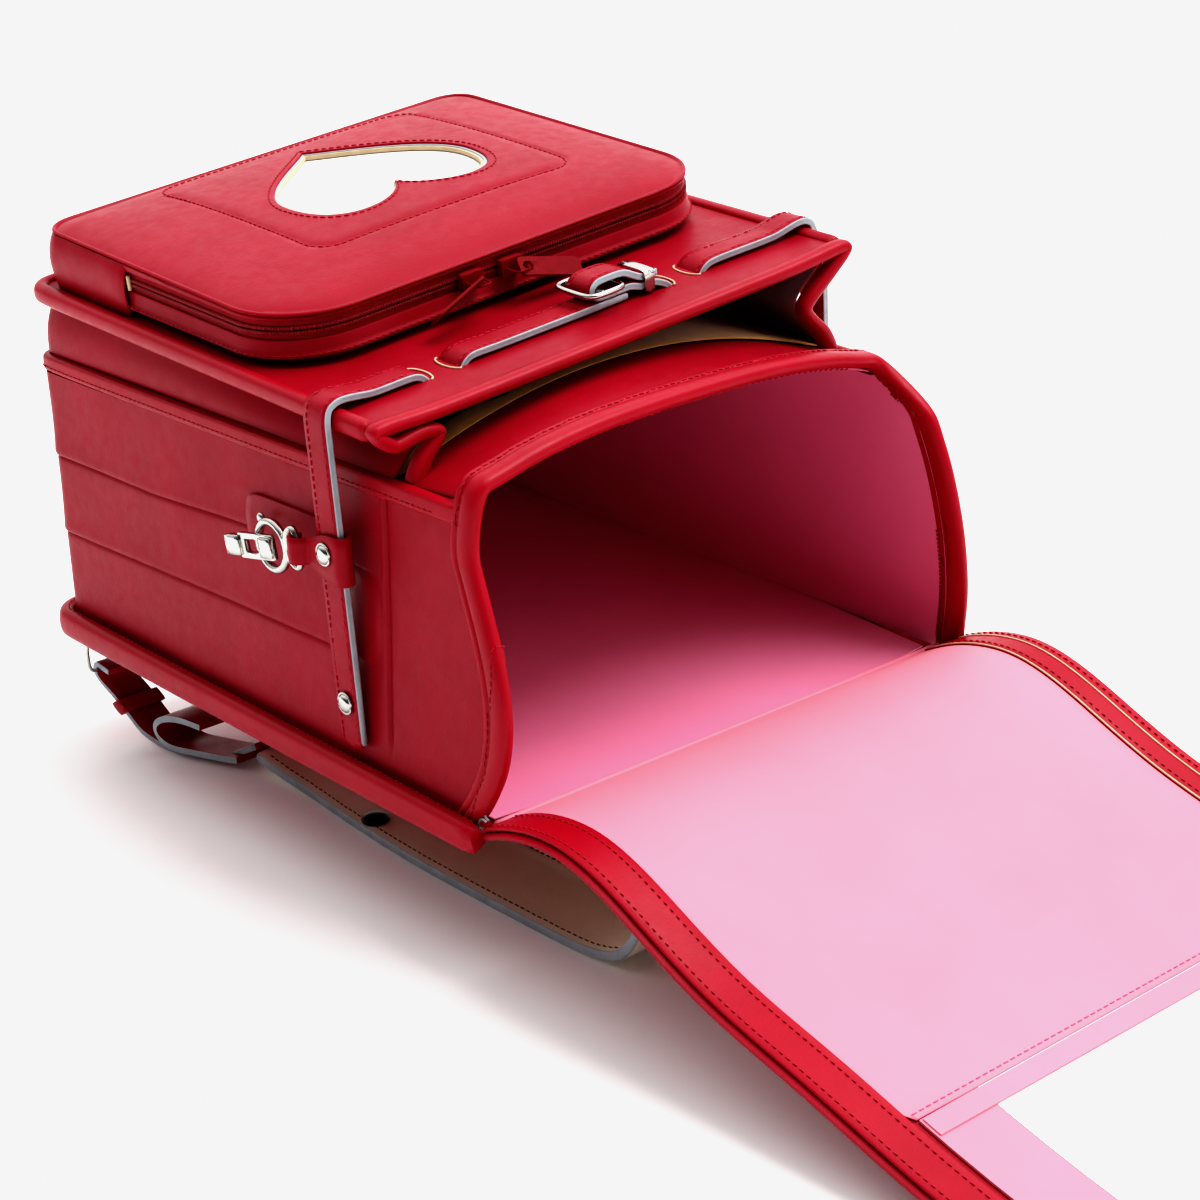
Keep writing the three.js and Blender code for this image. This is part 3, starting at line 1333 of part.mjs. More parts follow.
function makeCarrier() {
  const middleY = strapRows[0].y * bodyLength - carrierLength * 0.2;
  const shape = rounded(carrierWidth, carrierLength, carrierCorner);
  const mesh = piece('strap_carrier', plate(shape, carrierThick), black);
  mesh.position.set(0, middleY, -carrierThick - gap);
}
makeCarrier();

for (const [name, side] of [['near', -1], ['far', 1]]) {
  piece(`shoulder_strap_${name}`, makeStrap(side), cream);
  piece(`strap_tail_${name}`, makeTail(side), crimson);
  piece(`tail_keeper_${name}`, makeTailKeeper(side), crimson);
  piece(`d_ring_${name}`, makeDRing(side), nickel);
  piece(`ring_tab_${name}`, makeRingTab(side), crimson);
}

// Moved so that its box stands centred on the origin
const box = new THREE.Box3().setFromObject(bag);
const middle = box.getCenter(vec(0, 0, 0));
const ransel = new THREE.Group();
bag.position.set(-middle.x, -middle.y, -box.min.z);
ransel.add(bag);

export default ransel;
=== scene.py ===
# A school ransel lying on its back on its shoulder straps, flap open on the floor
import json
import math
import bpy
import bmesh
from mathutils import Matrix, Vector, noise
from mathutils.bvhtree import BVHTree


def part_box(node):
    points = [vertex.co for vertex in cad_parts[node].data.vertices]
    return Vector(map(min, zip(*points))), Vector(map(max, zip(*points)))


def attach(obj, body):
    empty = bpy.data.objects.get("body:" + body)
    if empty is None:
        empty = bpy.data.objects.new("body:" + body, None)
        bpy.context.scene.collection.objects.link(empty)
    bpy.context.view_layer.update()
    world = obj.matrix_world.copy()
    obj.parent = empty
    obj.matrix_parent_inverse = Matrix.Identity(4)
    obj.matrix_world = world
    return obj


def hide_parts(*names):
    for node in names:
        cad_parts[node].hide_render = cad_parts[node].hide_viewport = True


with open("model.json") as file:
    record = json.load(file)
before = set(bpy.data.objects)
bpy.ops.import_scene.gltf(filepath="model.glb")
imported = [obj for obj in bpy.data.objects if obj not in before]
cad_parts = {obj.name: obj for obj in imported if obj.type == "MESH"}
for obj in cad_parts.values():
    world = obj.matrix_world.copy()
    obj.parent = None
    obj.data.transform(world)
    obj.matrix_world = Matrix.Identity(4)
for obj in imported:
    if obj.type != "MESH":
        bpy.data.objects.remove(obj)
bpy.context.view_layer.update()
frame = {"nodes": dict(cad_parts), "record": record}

mm = 0.001

# The bag's own frame: x over the sides, y from the flap's hinge to the bottom, z up from the back panel
backLo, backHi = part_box("back_panel")
bagCorner = Vector(((backLo.x + backHi.x) / 2, backLo.y - 0.3 * mm, backLo.z))

# The front board's frame, tilted a little on the bag
boardAcross = Vector((0.99639, -0.0022964, 0.084864))
boardAlong = Vector((0, 0.999634, 0.0270493))
boardUp = Vector((-0.0848952, -0.0269517, 0.9960253))
boardCorner = bagCorner + Vector((-4.5, 55, 159.6)) * mm
upward = Vector((0, 0, 1))
sides = ((-1, "Near"), (1, "Far"))


def bagSpot(x, y, z):
    return bagCorner + Vector((x, y, z)) * mm


def inBag(spot):
    return (spot - bagCorner) / mm


def boardSpot(across, along, up):
    return boardCorner + (boardAcross * across + boardAlong * along + boardUp * up) * mm


def between(low, high, part):
    return low + (high - low) * part


# Even values from low to high, with both ends
def spread(low, high, steps):
    return [between(low, high, k / steps) for k in range(steps + 1)]


def clamped(value, low=0.0, high=1.0):
    return max(low, min(high, value))


def softStep(value):
    part = clamped(value)
    return part * part * (3 - 2 * part)


# A bell of height 1 over the distance from its middle
def bell(away, width):
    return math.exp(-(away / width) ** 2)


# A quarter circle as points of a plane, turning the other way with a negative sweep
def quarter(x, y, radius, start, steps, sweep=90):
    turns = [math.radians(start + sweep * k / steps) for k in range(steps + 1)]
    return [(x + radius * math.cos(turn), y + radius * math.sin(turn)) for turn in turns]


# Camera, light and floor

cameraView = {
    "place": (-683.725, -787.424, 488.035),      # in the bag's frame, mm
    "right": (0.771296, -0.63439, -0.05149),
    "down": (-0.276615, -0.261252, -0.924787),
    "ahead": (0.573224, 0.727528, -0.376985),
    "lens": 86.128, "sensor": 36.0,
}

studio = {
    "floorColour": "#FAFAFA", "floorGlow": 0.03, "floorSize": 30.0, "floorRoughness": 0.9, "floorShine": 0.1,
    "skyFrom": (0.35, 0.5, 0.8), "skyBright": 1.75, "skyDim": 0.13, "skyReach": 0.85,
    # lamps: strength, angle across in degrees, direction they stand in
    "suns": {"softWindow": (2.75, 38, (0.4, -0.25, 1.0)), "frontFill": (0.7, 45, (0.45, -0.9, 0.5))},
    "printCurve": [(0, 0), (0.03, 0.005), (0.08, 0.03), (0.2, 0.135), (0.5, 0.485), (0.64, 0.65),
                   (0.79, 0.84), (0.9, 0.913)],
}


def linear(hexColour):
    parts = [int(hexColour[i:i + 2], 16) / 255 for i in (1, 3, 5)]
    return tuple(c / 12.92 if c <= 0.04045 else ((c + 0.055) / 1.055) ** 2.4 for c in parts) + (1.0,)


def addNode(tree, kind, settings=None, inputs=None):
    made = tree.nodes.new(kind)
    for name, value in (settings or {}).items():
        setattr(made, name, value)
    for name, value in (inputs or {}).items():
        socket = made.inputs[name]
        if isinstance(value, bpy.types.NodeSocket):
            tree.links.new(value, socket)
        else:
            socket.default_value = value
    return made


def linked(item):
    bpy.context.scene.collection.objects.link(item)
    return item


def makeCamera(view):
    lens = bpy.data.cameras.new("photoCamera")
    lens.lens, lens.sensor_width, lens.sensor_fit = view["lens"], view["sensor"], "HORIZONTAL"
    lens.clip_start, lens.clip_end = 0.05, 50
    camera = linked(bpy.data.objects.new("photoCamera", lens))
    right, down, ahead = (Vector(view[key]) for key in ("right", "down", "ahead"))
    turn = Matrix((right, -down, -ahead)).transposed().to_4x4()
    camera.matrix_world = Matrix.Translation(bagCorner + Vector(view["place"]) * mm) @ turn
    bpy.context.scene.camera = camera


# A print's curve: deep shadows, and paper white a little under full white
def setPrintCurve(look):
    view = bpy.context.scene.view_settings
    view.view_transform, view.look, view.use_curve_mapping = "Standard", "None", True
    curve = view.curve_mapping
    curve.extend = "HORIZONTAL"
    points = curve.curves[3].points
    for x, y in look["printCurve"][1:-1]:
        points.new(x, y)
    for point, spot in zip(points, look["printCurve"]):
        point.location = spot
    curve.update()


def makeSky(look):
    world = bpy.context.scene.world or bpy.data.worlds.new("studioSky")
    bpy.context.scene.world = world
    world.use_nodes = True
    tree = world.node_tree
    tree.nodes.clear()
    way = addNode(tree, "ShaderNodeTexCoord").outputs["Generated"]
    facing = addNode(tree, "ShaderNodeVectorMath", {"operation": "DOT_PRODUCT"},
                     {0: way, 1: Vector(look["skyFrom"]).normalized()}).outputs["Value"]
    bright = addNode(tree, "ShaderNodeMapRange", {"interpolation_type": "SMOOTHSTEP"},
                     {"Value": facing, "From Min": 0.0, "From Max": look["skyReach"],
                      "To Min": look["skyDim"], "To Max": look["skyBright"]}).outputs[0]
    sky = addNode(tree, "ShaderNodeBackground", inputs={"Color": (1, 1, 1, 1), "Strength": bright})
    addNode(tree, "ShaderNodeOutputWorld", inputs={"Surface": sky.outputs[0]})


def makeStudio(look):
    for name, (strength, angle, place) in look["suns"].items():
        sun = bpy.data.lights.new(name, "SUN")
        sun.energy, sun.angle = strength, math.radians(angle)
        lamp = linked(bpy.data.objects.new(name, sun))
        lamp.rotation_mode = "QUATERNION"
        lamp.rotation_quaternion = Vector(place).to_track_quat("Z", "Y")

    half = look["floorSize"] / 2
    mesh = bpy.data.meshes.new("studioFloor")
    mesh.from_pydata([(-half, -half, 0), (half, -half, 0), (half, half, 0), (-half, half, 0)],
                     [], [(0, 1, 2, 3)])
    floor = linked(bpy.data.objects.new("studioFloor", mesh))
    paper = bpy.data.materials.new("paperFloor")      # matt background paper: a pale, even ground
    paper.use_nodes = True
    settings = paper.node_tree.nodes["Principled BSDF"].inputs
    settings["Base Color"].default_value = linear(look["floorColour"])
    settings["Roughness"].default_value = look["floorRoughness"]
    settings["Specular IOR Level"].default_value = look["floorShine"]
    settings["Emission Color"].default_value = (1, 1, 1, 1)      # the light table under the paper
    settings["Emission Strength"].default_value = look["floorGlow"]
    mesh.materials.append(paper)


makeCamera(cameraView)
setPrintCurve(studio)
makeSky(studio)
makeStudio(studio)
print("camera and studio")


# Materials


def perMetre(size):
    return 1 / (size * mm)


# Two close colours in soft patches, under the relief and gloss of one kind of surface
def makeMaterial(name, surface, look):
    material = bpy.data.materials.new(name)
    material.use_nodes = True
    tree = material.node_tree
    tree.nodes.clear()
    place = addNode(tree, "ShaderNodeTexCoord").outputs["Object"]
    patch = addNode(tree, "ShaderNodeTexNoise", inputs={
        "Vector": place, "Scale": perMetre(look["patch"]), "Detail": 3.0, "Roughness": 0.6})
    ramp = addNode(tree, "ShaderNodeValToRGB", inputs={"Fac": patch.outputs["Fac"]})
    for stop, position, key in zip(ramp.color_ramp.elements, (0.35, 0.65), ("colour", "colour2")):
        stop.position, stop.color = position, linear(look[key])
    normal, rough = surface(tree, place, look)
    inputs = {"Base Color": ramp.outputs["Color"], "Normal": normal, "Roughness": rough,
              "Metallic": look.get("metallic", 0.0), "Specular IOR Level": look.get("specular", 0.5),
              "Sheen Weight": look.get("sheen", 0.0)}
    if "metallic" not in look:
        inputs["IOR"] = 1.5
    shader = addNode(tree, "ShaderNodeBsdfPrincipled", inputs=inputs)
    addNode(tree, "ShaderNodeOutputMaterial", inputs={"Surface": shader.outputs[0]})
    return material


# Coated leather: pressed pebble grain over softer creases, satin, a little rougher between the pebbles
def coatedLeather(tree, place, look):
    pebble = addNode(tree, "ShaderNodeTexVoronoi", {"feature": "F1"}, {
        "Vector": place, "Scale": perMetre(look["grain"]), "Randomness": 0.9})
    crease = addNode(tree, "ShaderNodeTexNoise", inputs={
        "Vector": place, "Scale": perMetre(look["crease"]), "Detail": 4.0, "Roughness": 0.55})
    rough = addNode(tree, "ShaderNodeMapRange", inputs={
        "Value": crease.outputs["Fac"], "From Min": 0.3, "From Max": 0.7,
        "To Min": look["roughness"] - 0.05, "To Max": look["roughness"] + 0.06})
    fine = addNode(tree, "ShaderNodeBump", inputs={
        "Height": pebble.outputs["Distance"], "Strength": look["grainStrength"],
        "Distance": look["grainDepth"] * mm})
    soft = addNode(tree, "ShaderNodeBump", inputs={
        "Height": crease.outputs["Fac"], "Strength": 1.0, "Distance": look["creaseDepth"] * mm,
        "Normal": fine.outputs[0]})
    return soft.outputs[0], rough.outputs[0]


# Woven or brushed cloth: two crossed thread waves, or a matt nap of fine noise
def clothFinish(tree, place, look):
    nap = addNode(tree, "ShaderNodeTexNoise", inputs={
        "Vector": place, "Scale": perMetre(look["thread"]), "Detail": 2.0, "Roughness": 0.7})
    height = nap.outputs["Fac"]
    for way in ("X", "Y") if look.get("woven") else ():
        wave = addNode(tree, "ShaderNodeTexWave", {"bands_direction": way}, {
            "Vector": place, "Scale": perMetre(look["thread"]) / 20, "Distortion": 0.6})
        height = addNode(tree, "ShaderNodeMath", {"operation": "ADD"}, {
            0: height, 1: wave.outputs["Fac"]}).outputs[0]
    bump = addNode(tree, "ShaderNodeBump", inputs={
        "Height": height, "Strength": look["strength"], "Distance": look["depth"] * mm})
    return bump.outputs[0], look["roughness"]


# Hard smooth finishes: metal, paint and film, with faint handling marks in the gloss
def hardFinish(tree, place, look):
    marks = addNode(tree, "ShaderNodeTexNoise", inputs={
        "Vector": place, "Scale": perMetre(look["mark"]), "Detail": 3.0})
    rough = addNode(tree, "ShaderNodeMapRange", inputs={
        "Value": marks.outputs["Fac"], "From Min": 0.35, "From Max": 0.65,
        "To Min": look["roughness"], "To Max": look["roughness"] + look["spread"]})
    bump = addNode(tree, "ShaderNodeBump", inputs={
        "Height": marks.outputs["Fac"], "Strength": 0.4, "Distance": look["markDepth"] * mm})
    return bump.outputs[0], rough.outputs[0]


crimsonLook = {      # polyurethane-coated artificial leather, pressed grain: deep red, satin sheen
    "colour": "#990D29", "colour2": "#910B25", "patch": 45, "grain": 0.9, "grainStrength": 0.35,
    "grainDepth": 0.12, "crease": 6, "creaseDepth": 0.06, "roughness": 0.42, "specular": 0.2}
bindingLook = dict(crimsonLook, colour="#A20E2A", colour2="#9A0D26", roughness=0.38, specular=0.22)
liningLook = {      # smooth coated nylon lining: flat bright pink, matt, a faint weave
    "colour": "#EE869A", "colour2": "#EC8296", "patch": 80, "thread": 0.8, "strength": 0.15,
    "depth": 0.05, "roughness": 0.6, "specular": 0.35, "sheen": 0.2, "woven": True}
suedeLook = {      # split suede, brushed: mustard brown, quite matt with a soft nap
    "colour": "#DDAA52", "colour2": "#C99A44", "patch": 9, "thread": 0.7, "strength": 0.7,
    "depth": 0.25, "roughness": 0.95, "specular": 0.2, "sheen": 0.5}
creamLook = {      # breathable padded strap leather, fine grain: warm cream, matt
    "colour": "#E9E3CE", "colour2": "#E2DBC4", "patch": 30, "grain": 1.1, "grainStrength": 0.4,
    "grainDepth": 0.12, "crease": 5, "creaseDepth": 0.06, "roughness": 0.6, "specular": 0.4}
# the same nylon in a darker, bluer copy for the linings inside the box: painted shade of the deep compartment
shadedLiningLook = dict(liningLook, colour="#DE84A2", colour2="#DA809E")
# grey woven lining of the gusset
greyLiningLook = dict(liningLook, colour="#B9AEB4", colour2="#ADA2A9")
edgeLook = {      # rolled-on edge paint: pale cool grey, half gloss, slightly uneven
    "colour": "#AEB7BD", "colour2": "#A2ABB1", "patch": 6, "mark": 1.5, "markDepth": 0.05,
    "roughness": 0.4, "spread": 0.15}
beigeEdgeLook = dict(edgeLook, colour="#D9C3A4", colour2="#CFB592")      # bare cut board
nickelLook = {      # polished nickel plate on zinc: bright, mirror-like, with faint handling marks
    "colour": "#BDBBB6", "colour2": "#B3B1AC", "patch": 4, "mark": 2.5, "markDepth": 0.01,
    "roughness": 0.14, "spread": 0.1, "metallic": 1.0}
zipLook = {      # woven polyester zip tape, dyed: darker red, matt
    "colour": "#8E0A1E", "colour2": "#840A1C", "patch": 12, "thread": 0.7, "strength": 0.5,
    "depth": 0.12, "roughness": 0.75, "specular": 0.3, "woven": True}
coilLook = {      # nylon monofilament coil: dark red, slightly shiny
    "colour": "#8E0A1D", "colour2": "#840A1B", "patch": 5, "mark": 2, "markDepth": 0.02,
    "roughness": 0.38, "spread": 0.1}
sliderLook = {      # die-cast zinc, powder coated red
    "colour": "#7E0819", "colour2": "#760817", "patch": 5, "mark": 1, "markDepth": 0.03,
    "roughness": 0.55, "spread": 0.1, "specular": 0.15}
threadLook = {      # bonded polyester sewing thread: dark red, matt twist
    "colour": "#980A22", "colour2": "#A60C26", "patch": 2, "mark": 0.6, "markDepth": 0.05,
    "roughness": 0.6, "spread": 0.1}
cardLook = {      # white card under a clear film: very pale, smooth
    "colour": "#FBF8F4", "colour2": "#F7F3EE", "patch": 60, "mark": 20, "markDepth": 0.02,
    "roughness": 0.35, "spread": 0.1}
blackLook = {      # woven black webbing, matt
    "colour": "#161414", "colour2": "#1E1B1B", "patch": 6, "thread": 1.0, "strength": 0.5,
    "depth": 0.15, "roughness": 0.7, "specular": 0.3, "woven": True}
blackMetalLook = {      # black electroplate, half gloss
    "colour": "#141414", "colour2": "#1C1B1A", "patch": 5, "mark": 2, "markDepth": 0.01,
    "roughness": 0.3, "spread": 0.1, "metallic": 0.6}

crimson = makeMaterial("crimsonLeather", coatedLeather, crimsonLook)
bindingRed = makeMaterial("crimsonBinding", coatedLeather, bindingLook)
cream = makeMaterial("creamLeather", coatedLeather, creamLook)
pink = makeMaterial("pinkNylon", clothFinish, liningLook)
# the box's side, floor and front linings use this painted-shade copy of the pink nylon
shadedBoxPink = makeMaterial("pinkNylonPaintedShade", clothFinish, shadedLiningLook)
greyLining = makeMaterial("greyNylon", clothFinish, greyLiningLook)
suede = makeMaterial("mustardSuede", clothFinish, suedeLook)
zipTape = makeMaterial("zipTape", clothFinish, zipLook)
webbing = makeMaterial("blackWebbing", clothFinish, blackLook)
edgePaint = makeMaterial("greyEdgePaint", hardFinish, edgeLook)
beigeEdge = makeMaterial("cutBoardEdge", hardFinish, beigeEdgeLook)
nickel = makeMaterial("nickelPlate", hardFinish, nickelLook)
coil = makeMaterial("nylonCoil", hardFinish, coilLook)
sliderPaint = makeMaterial("powderCoat", hardFinish, sliderLook)
thread = makeMaterial("redThread", hardFinish, threadLook)
brightThread = makeMaterial("brightRedThread", hardFinish,
                            dict(threadLook, colour="#B51030", colour2="#A80D2A"))
pinkThread = makeMaterial("pinkThread", hardFinish,
                          dict(threadLook, colour="#C0688C", colour2="#B86084"))
brownThread = makeMaterial("brownThread", hardFinish,
                           dict(threadLook, colour="#5A4226", colour2="#6A4E2C"))
card = makeMaterial("whiteCard", hardFinish, cardLook)
blackMetal = makeMaterial("blackPlate", hardFinish, blackMetalLook)
print("materials")


# Tools for shapes

bodyOfNode = {node: body for body, nodes in frame["record"]["behaviour"]["bodies"].items() for node in nodes}


# Gives a piece its body, and takes the place of CAD nodes where it names any
def enter(piece, nodes=(), body="root"):
    if nodes:
        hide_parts(*nodes)
        body = bodyOfNode[nodes[0]]
    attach(piece, body)


def newPiece(name, shape, materials):
    mesh = bpy.data.meshes.new(name)
    shape.to_mesh(mesh)
    shape.free()
    for material in materials:
        mesh.materials.append(material)
    return linked(bpy.data.objects.new(name, mesh))


def smoothed(piece, sharp=40):
    piece.data.shade_smooth()
    piece.data.set_sharp_from_angle(angle=math.radians(sharp))


# A CAD node's own shape with its corners rounded, its triangles paired into quads first, and swollen in mm
def softened(name, node, materials, sharp=60, crease=0.8, level=2, swell=0.0):
    shape = bmesh.new()
    shape.from_mesh(frame["nodes"][node].data)
    bmesh.ops.remove_doubles(shape, verts=shape.verts[:], dist=0.02 * mm)
    bmesh.ops.join_triangles(shape, faces=shape.faces[:], angle_face_threshold=math.radians(50),
                             angle_shape_threshold=math.radians(180))
    held = shape.edges.layers.float.new("crease_edge")
    for edge in shape.edges:
        if len(edge.link_faces) == 2 and edge.calc_face_angle() > math.radians(sharp):
            edge[held] = crease
    piece = newPiece(name, shape, materials)
    rounding = piece.modifiers.new("rounding", "SUBSURF")
    rounding.levels = rounding.render_levels = level
    graph = bpy.context.evaluated_depsgraph_get()
    mesh = bpy.data.meshes.new_from_object(piece.evaluated_get(graph))
    piece.modifiers.clear()
    piece.data = mesh
    enter(piece, [node])
    smoothed(piece)
    if swell:
        normals = [vertex.normal.copy() for vertex in mesh.vertices]
        for vertex, normal in zip(mesh.vertices, normals):
            vertex.co += normal * swell * mm
        mesh.update()
    return piece


# A piece from points and faces, with its faces turned outward where an angle for sharp edges is given
def meshPiece(name, points, faces, materials, nodes=(), sharp=None, finish=None):
    mesh = bpy.data.meshes.new(name)
    mesh.from_pydata(points, [], faces)
    for material in materials:
        mesh.materials.append(material)
    if finish:
        mesh.polygons.foreach_set("material_index", finish)
    piece = linked(bpy.data.objects.new(name, mesh))
    if sharp is None:
        mesh.shade_smooth()
    else:
        shape = bmesh.new()
        shape.from_mesh(mesh)
        bmesh.ops.recalc_face_normals(shape, faces=shape.faces[:])
        shape.to_mesh(mesh)
        shape.free()
        smoothed(piece, sharp)
    enter(piece, nodes)
    return piece


# Faces between rings of points that follow each other
def ringFaces(count, around, closed=False):
    faces = []
    for k in range(count if closed else count - 1):
        here, there = k * around, (k + 1) % count * around
        for i in range(around):
            j = (i + 1) % around
            faces.append([here + i, here + j, there + j, there + i])
    return faces


def endFaces(count, around):
    return [list(range(around - 1, -1, -1)), list(range((count - 1) * around, count * around))]


# Rings of points as one piece, the last joined to the first
def ringPiece(name, rings, materials, nodes, finish=None, sharp=40):
    around = len(rings[0])
    faces = ringFaces(len(rings), around, closed=True)
    if finish:
        finish = [index for index in finish for _ in range(around)]
    return meshPiece(name, [at for ring in rings for at in ring], faces, materials, nodes, sharp=sharp,
                     finish=finish)


# A sheet between two grids of points in bag millimetres
def sheetPiece(name, grids, materials, nodes=()):
    rows, columns = len(grids[0]), len(grids[0][0])
    faces = []

    def spot(side, i, j):
        return (side * rows + i) * columns + j

    for i in range(rows - 1):
        for j in range(columns - 1):
            faces.append([spot(0, i, j), spot(0, i, j + 1), spot(0, i + 1, j + 1), spot(0, i + 1, j)])
            faces.append([spot(1, i, j), spot(1, i + 1, j), spot(1, i + 1, j + 1), spot(1, i, j + 1)])
    for i in (0, rows - 1):
        for j in range(columns - 1):
            faces.append([spot(0, i, j), spot(0, i, j + 1), spot(1, i, j + 1), spot(1, i, j)])
    for j in (0, columns - 1):
        for i in range(rows - 1):
            faces.append([spot(0, i, j), spot(0, i + 1, j), spot(1, i + 1, j), spot(1, i, j)])
    points = [bagSpot(*at) for grid in grids for row in grid for at in row]
    return meshPiece(name, points, faces, materials, nodes, sharp=60)


# Round bar along a line, of one radius in mm
def tubeAlong(name, path, radius, material, sides=10, closed=False):
    points = []
    count = len(path)
    for i, at in enumerate(path):
        before = path[i - 1 if i or closed else 0]
        after = path[(i + 1) % count if closed or i < count - 1 else i]
        ahead = (after - before).normalized()
        aside = ahead.cross(upward)
        aside = aside.normalized() if aside.length > 1e-4 else Vector((1, 0, 0))
        rise = aside.cross(ahead).normalized()
        for k in range(sides):
            angle = 2 * math.pi * k / sides
            points.append(at + (aside * math.cos(angle) + rise * math.sin(angle)) * radius * mm)
    faces = ringFaces(count, sides, closed) + ([] if closed else endFaces(count, sides))
    return meshPiece(name, points, faces, [material])


def surfaceOf(piece):
    mesh = piece.data
    return BVHTree.FromPolygons([v.co[:] for v in mesh.vertices], [p.vertices[:] for p in mesh.polygons])


# Points along a broken line at an even pitch, with the direction at each
def evenly(path, pitch, closed=False):
    line = path + [path[0]] if closed else path
    lengths = [(b - a).length for a, b in zip(line, line[1:])]
    count = max(1, round(sum(lengths) / pitch))
    step = sum(lengths) / count
    marks, travelled, leg = [], 0.0, 0
    for i in range(count):
        wanted = (i + 0.5) * step
        while leg < len(lengths) - 1 and travelled + lengths[leg] < wanted:
            travelled += lengths[leg]
            leg += 1
        part = (wanted - travelled) / max(lengths[leg], 1e-9)
        marks.append((line[leg].lerp(line[leg + 1], part), (line[leg + 1] - line[leg]).normalized()))
    return marks


stitch = {
    "sides": 6, "lift": 0.12,
    # rings along a stitch, as shares of its length and radius: along, wide, height; both ends dip in
    "rings": [(-0.5, 0.35, -1.1), (-0.36, 0.95, -0.1), (0.0, 1.0, 0.15), (0.36, 0.95, -0.1),
              (0.5, 0.35, -1.1)],
}
stitchSize = (len(stitch["rings"]), stitch["sides"])
stitchFaces = ringFaces(*stitchSize) + endFaces(*stitchSize)


# One sewn stitch: a short thread with both ends going down into the leather
def stitchShape(centre, ahead, up, length, radius):
    aside = ahead.cross(up).normalized()
    up = aside.cross(ahead).normalized()
    points = []
    for along, wide, height in stitch["rings"]:
        middle = centre + ahead * along * length + up * height * radius
        for i in range(stitch["sides"]):
            turn = i * 2 * math.pi / stitch["sides"]
            points.append(middle + (aside * math.cos(turn) + up * math.sin(turn)) * wide * radius)
    return points


# Rows of stitches: each row is (surface, points, direction to drop along or None, closed)
def sew(name, rows, material, pitch=3.4, length=2.7, radius=0.34):
    points, faces = [], []
    for surface, path, drop, closed in rows:
        for middle, ahead in evenly(path, pitch * mm, closed):
            if drop is None:
                at, up = surface.find_nearest(middle)[:2]
                up = up if (middle - at).dot(up) >= 0 else -up
            else:
                at, up = surface.ray_cast(middle, drop)[:2]
                if at is not None and up.dot(drop) > 0:
                    up = -up
            if at is None:
                continue
            base = len(points)
            points += stitchShape(at + up * stitch["lift"] * mm, ahead, up, length * mm, radius * mm)
            faces += [[base + i for i in face] for face in stitchFaces]
    return meshPiece(name, points, faces, [material])


# Gives the faces that look along a direction the second material, with a groove along their middle in mm
def paintEdges(piece, way, groove=0.5):
    mesh = piece.data
    painted = [abs(face.normal.dot(way)) > 0.7 for face in mesh.polygons]
    for face, isEdge in zip(mesh.polygons, painted):
        if isEdge:
            face.material_index = 1
    shape = bmesh.new()
    shape.from_mesh(mesh)
    shape.faces.ensure_lookup_table()
    inner = {v for v in shape.verts if all(painted[f.index] for f in v.link_faces)}
    core = [v for v in inner if all(e.other_vert(v) in inner for e in v.link_edges)]
    for vertex in core:
        vertex.co -= vertex.normal * groove * mm
    shape.to_mesh(mesh)
    shape.free()


print("tools")

# Leather box

boxMeasures = {
    "width": 247, "length": 313, "height": 127, "lean": 10.5, "corner": 10,
    "hump": 14.5, "setback": 14, "skew": 8, "bow": 14, "edge": 125, "skewRise": 0.44,
    # front edges of the two sides: share of the height, and how far out past the hinge
    "nearMouth": [(0.02, -0.50), (0.10, 0.05), (0.25, 0.72), (0.42, 0.84), (0.60, 0.42), (0.78, -0.27),
                  (0.93, -0.66), (1.00, -0.64)],
    "farMouth": [(0.02, 0.55), (0.11, 0.73), (0.26, 0.97), (0.44, 1.00), (0.61, 0.82), (0.78, 0.43),
                 (0.92, -0.24), (1.00, -1.15)],
}
turnStart = boxMeasures["length"] - boxMeasures["corner"]      # where the sides begin to turn into the bottom


def halfWidth(y, z):
    box = boxMeasures
    return box["width"] / 2 - box["lean"] * clamped(z / box["height"]) * clamped(1 - y / box["length"])


# Smooth reading of a table of pairs
def smoothRead(rows, at):
    at = clamped(at, rows[0][0], rows[-1][0])
    leg = max(i for i in range(len(rows) - 1) if rows[i][0] <= at)
    (x0, y0), (x1, y1) = rows[leg], rows[leg + 1]
    before, after = rows[max(0, leg - 1)], rows[min(len(rows) - 1, leg + 2)]
    slope0 = (y1 - before[1]) / (x1 - before[0])
    slope1 = (after[1] - y0) / (after[0] - x0)
    t, span = (at - x0) / (x1 - x0), x1 - x0
    return ((2 * t ** 3 - 3 * t ** 2 + 1) * y0 + (t ** 3 - 2 * t ** 2 + t) * span * slope0
            + (3 * t ** 2 - 2 * t ** 3) * y1 + (t ** 3 - t ** 2) * span * slope1)


def mouthEdge(side, z):
    rows = boxMeasures["nearMouth" if side < 0 else "farMouth"]
    return -boxMeasures["hump"] * smoothRead(rows, z / boxMeasures["height"])


def frontEdge(part):
    box = boxMeasures
    half = halfWidth(box["setback"], box["height"])
    rise = box["bow"] * (1 - abs(part) ** 3) + (1 - part) * box["skew"] * box["skewRise"]
    return Vector((part * half, box["setback"] + box["skew"] * part, box["edge"] + rise))


# A line round the side wall at one height: near side, bottom and far side
def roundWall(z, outside, front):
    corner, middle = boxMeasures["corner"], halfWidth(turnStart, z) - boxMeasures["corner"]
    near = [(-halfWidth(y, z) - outside, y) for y in range(front, turnStart, 6)]
    turns = (quarter(-middle, turnStart, corner + outside, 180, 6, sweep=-90)
             + quarter(middle, turnStart, corner + outside, 90, 6, sweep=-90))
    far = [(halfWidth(y, z) + outside, y) for y in range(turnStart - 3, front, -6)]
    return [bagSpot(x, y, z) for x, y in near + turns + far]


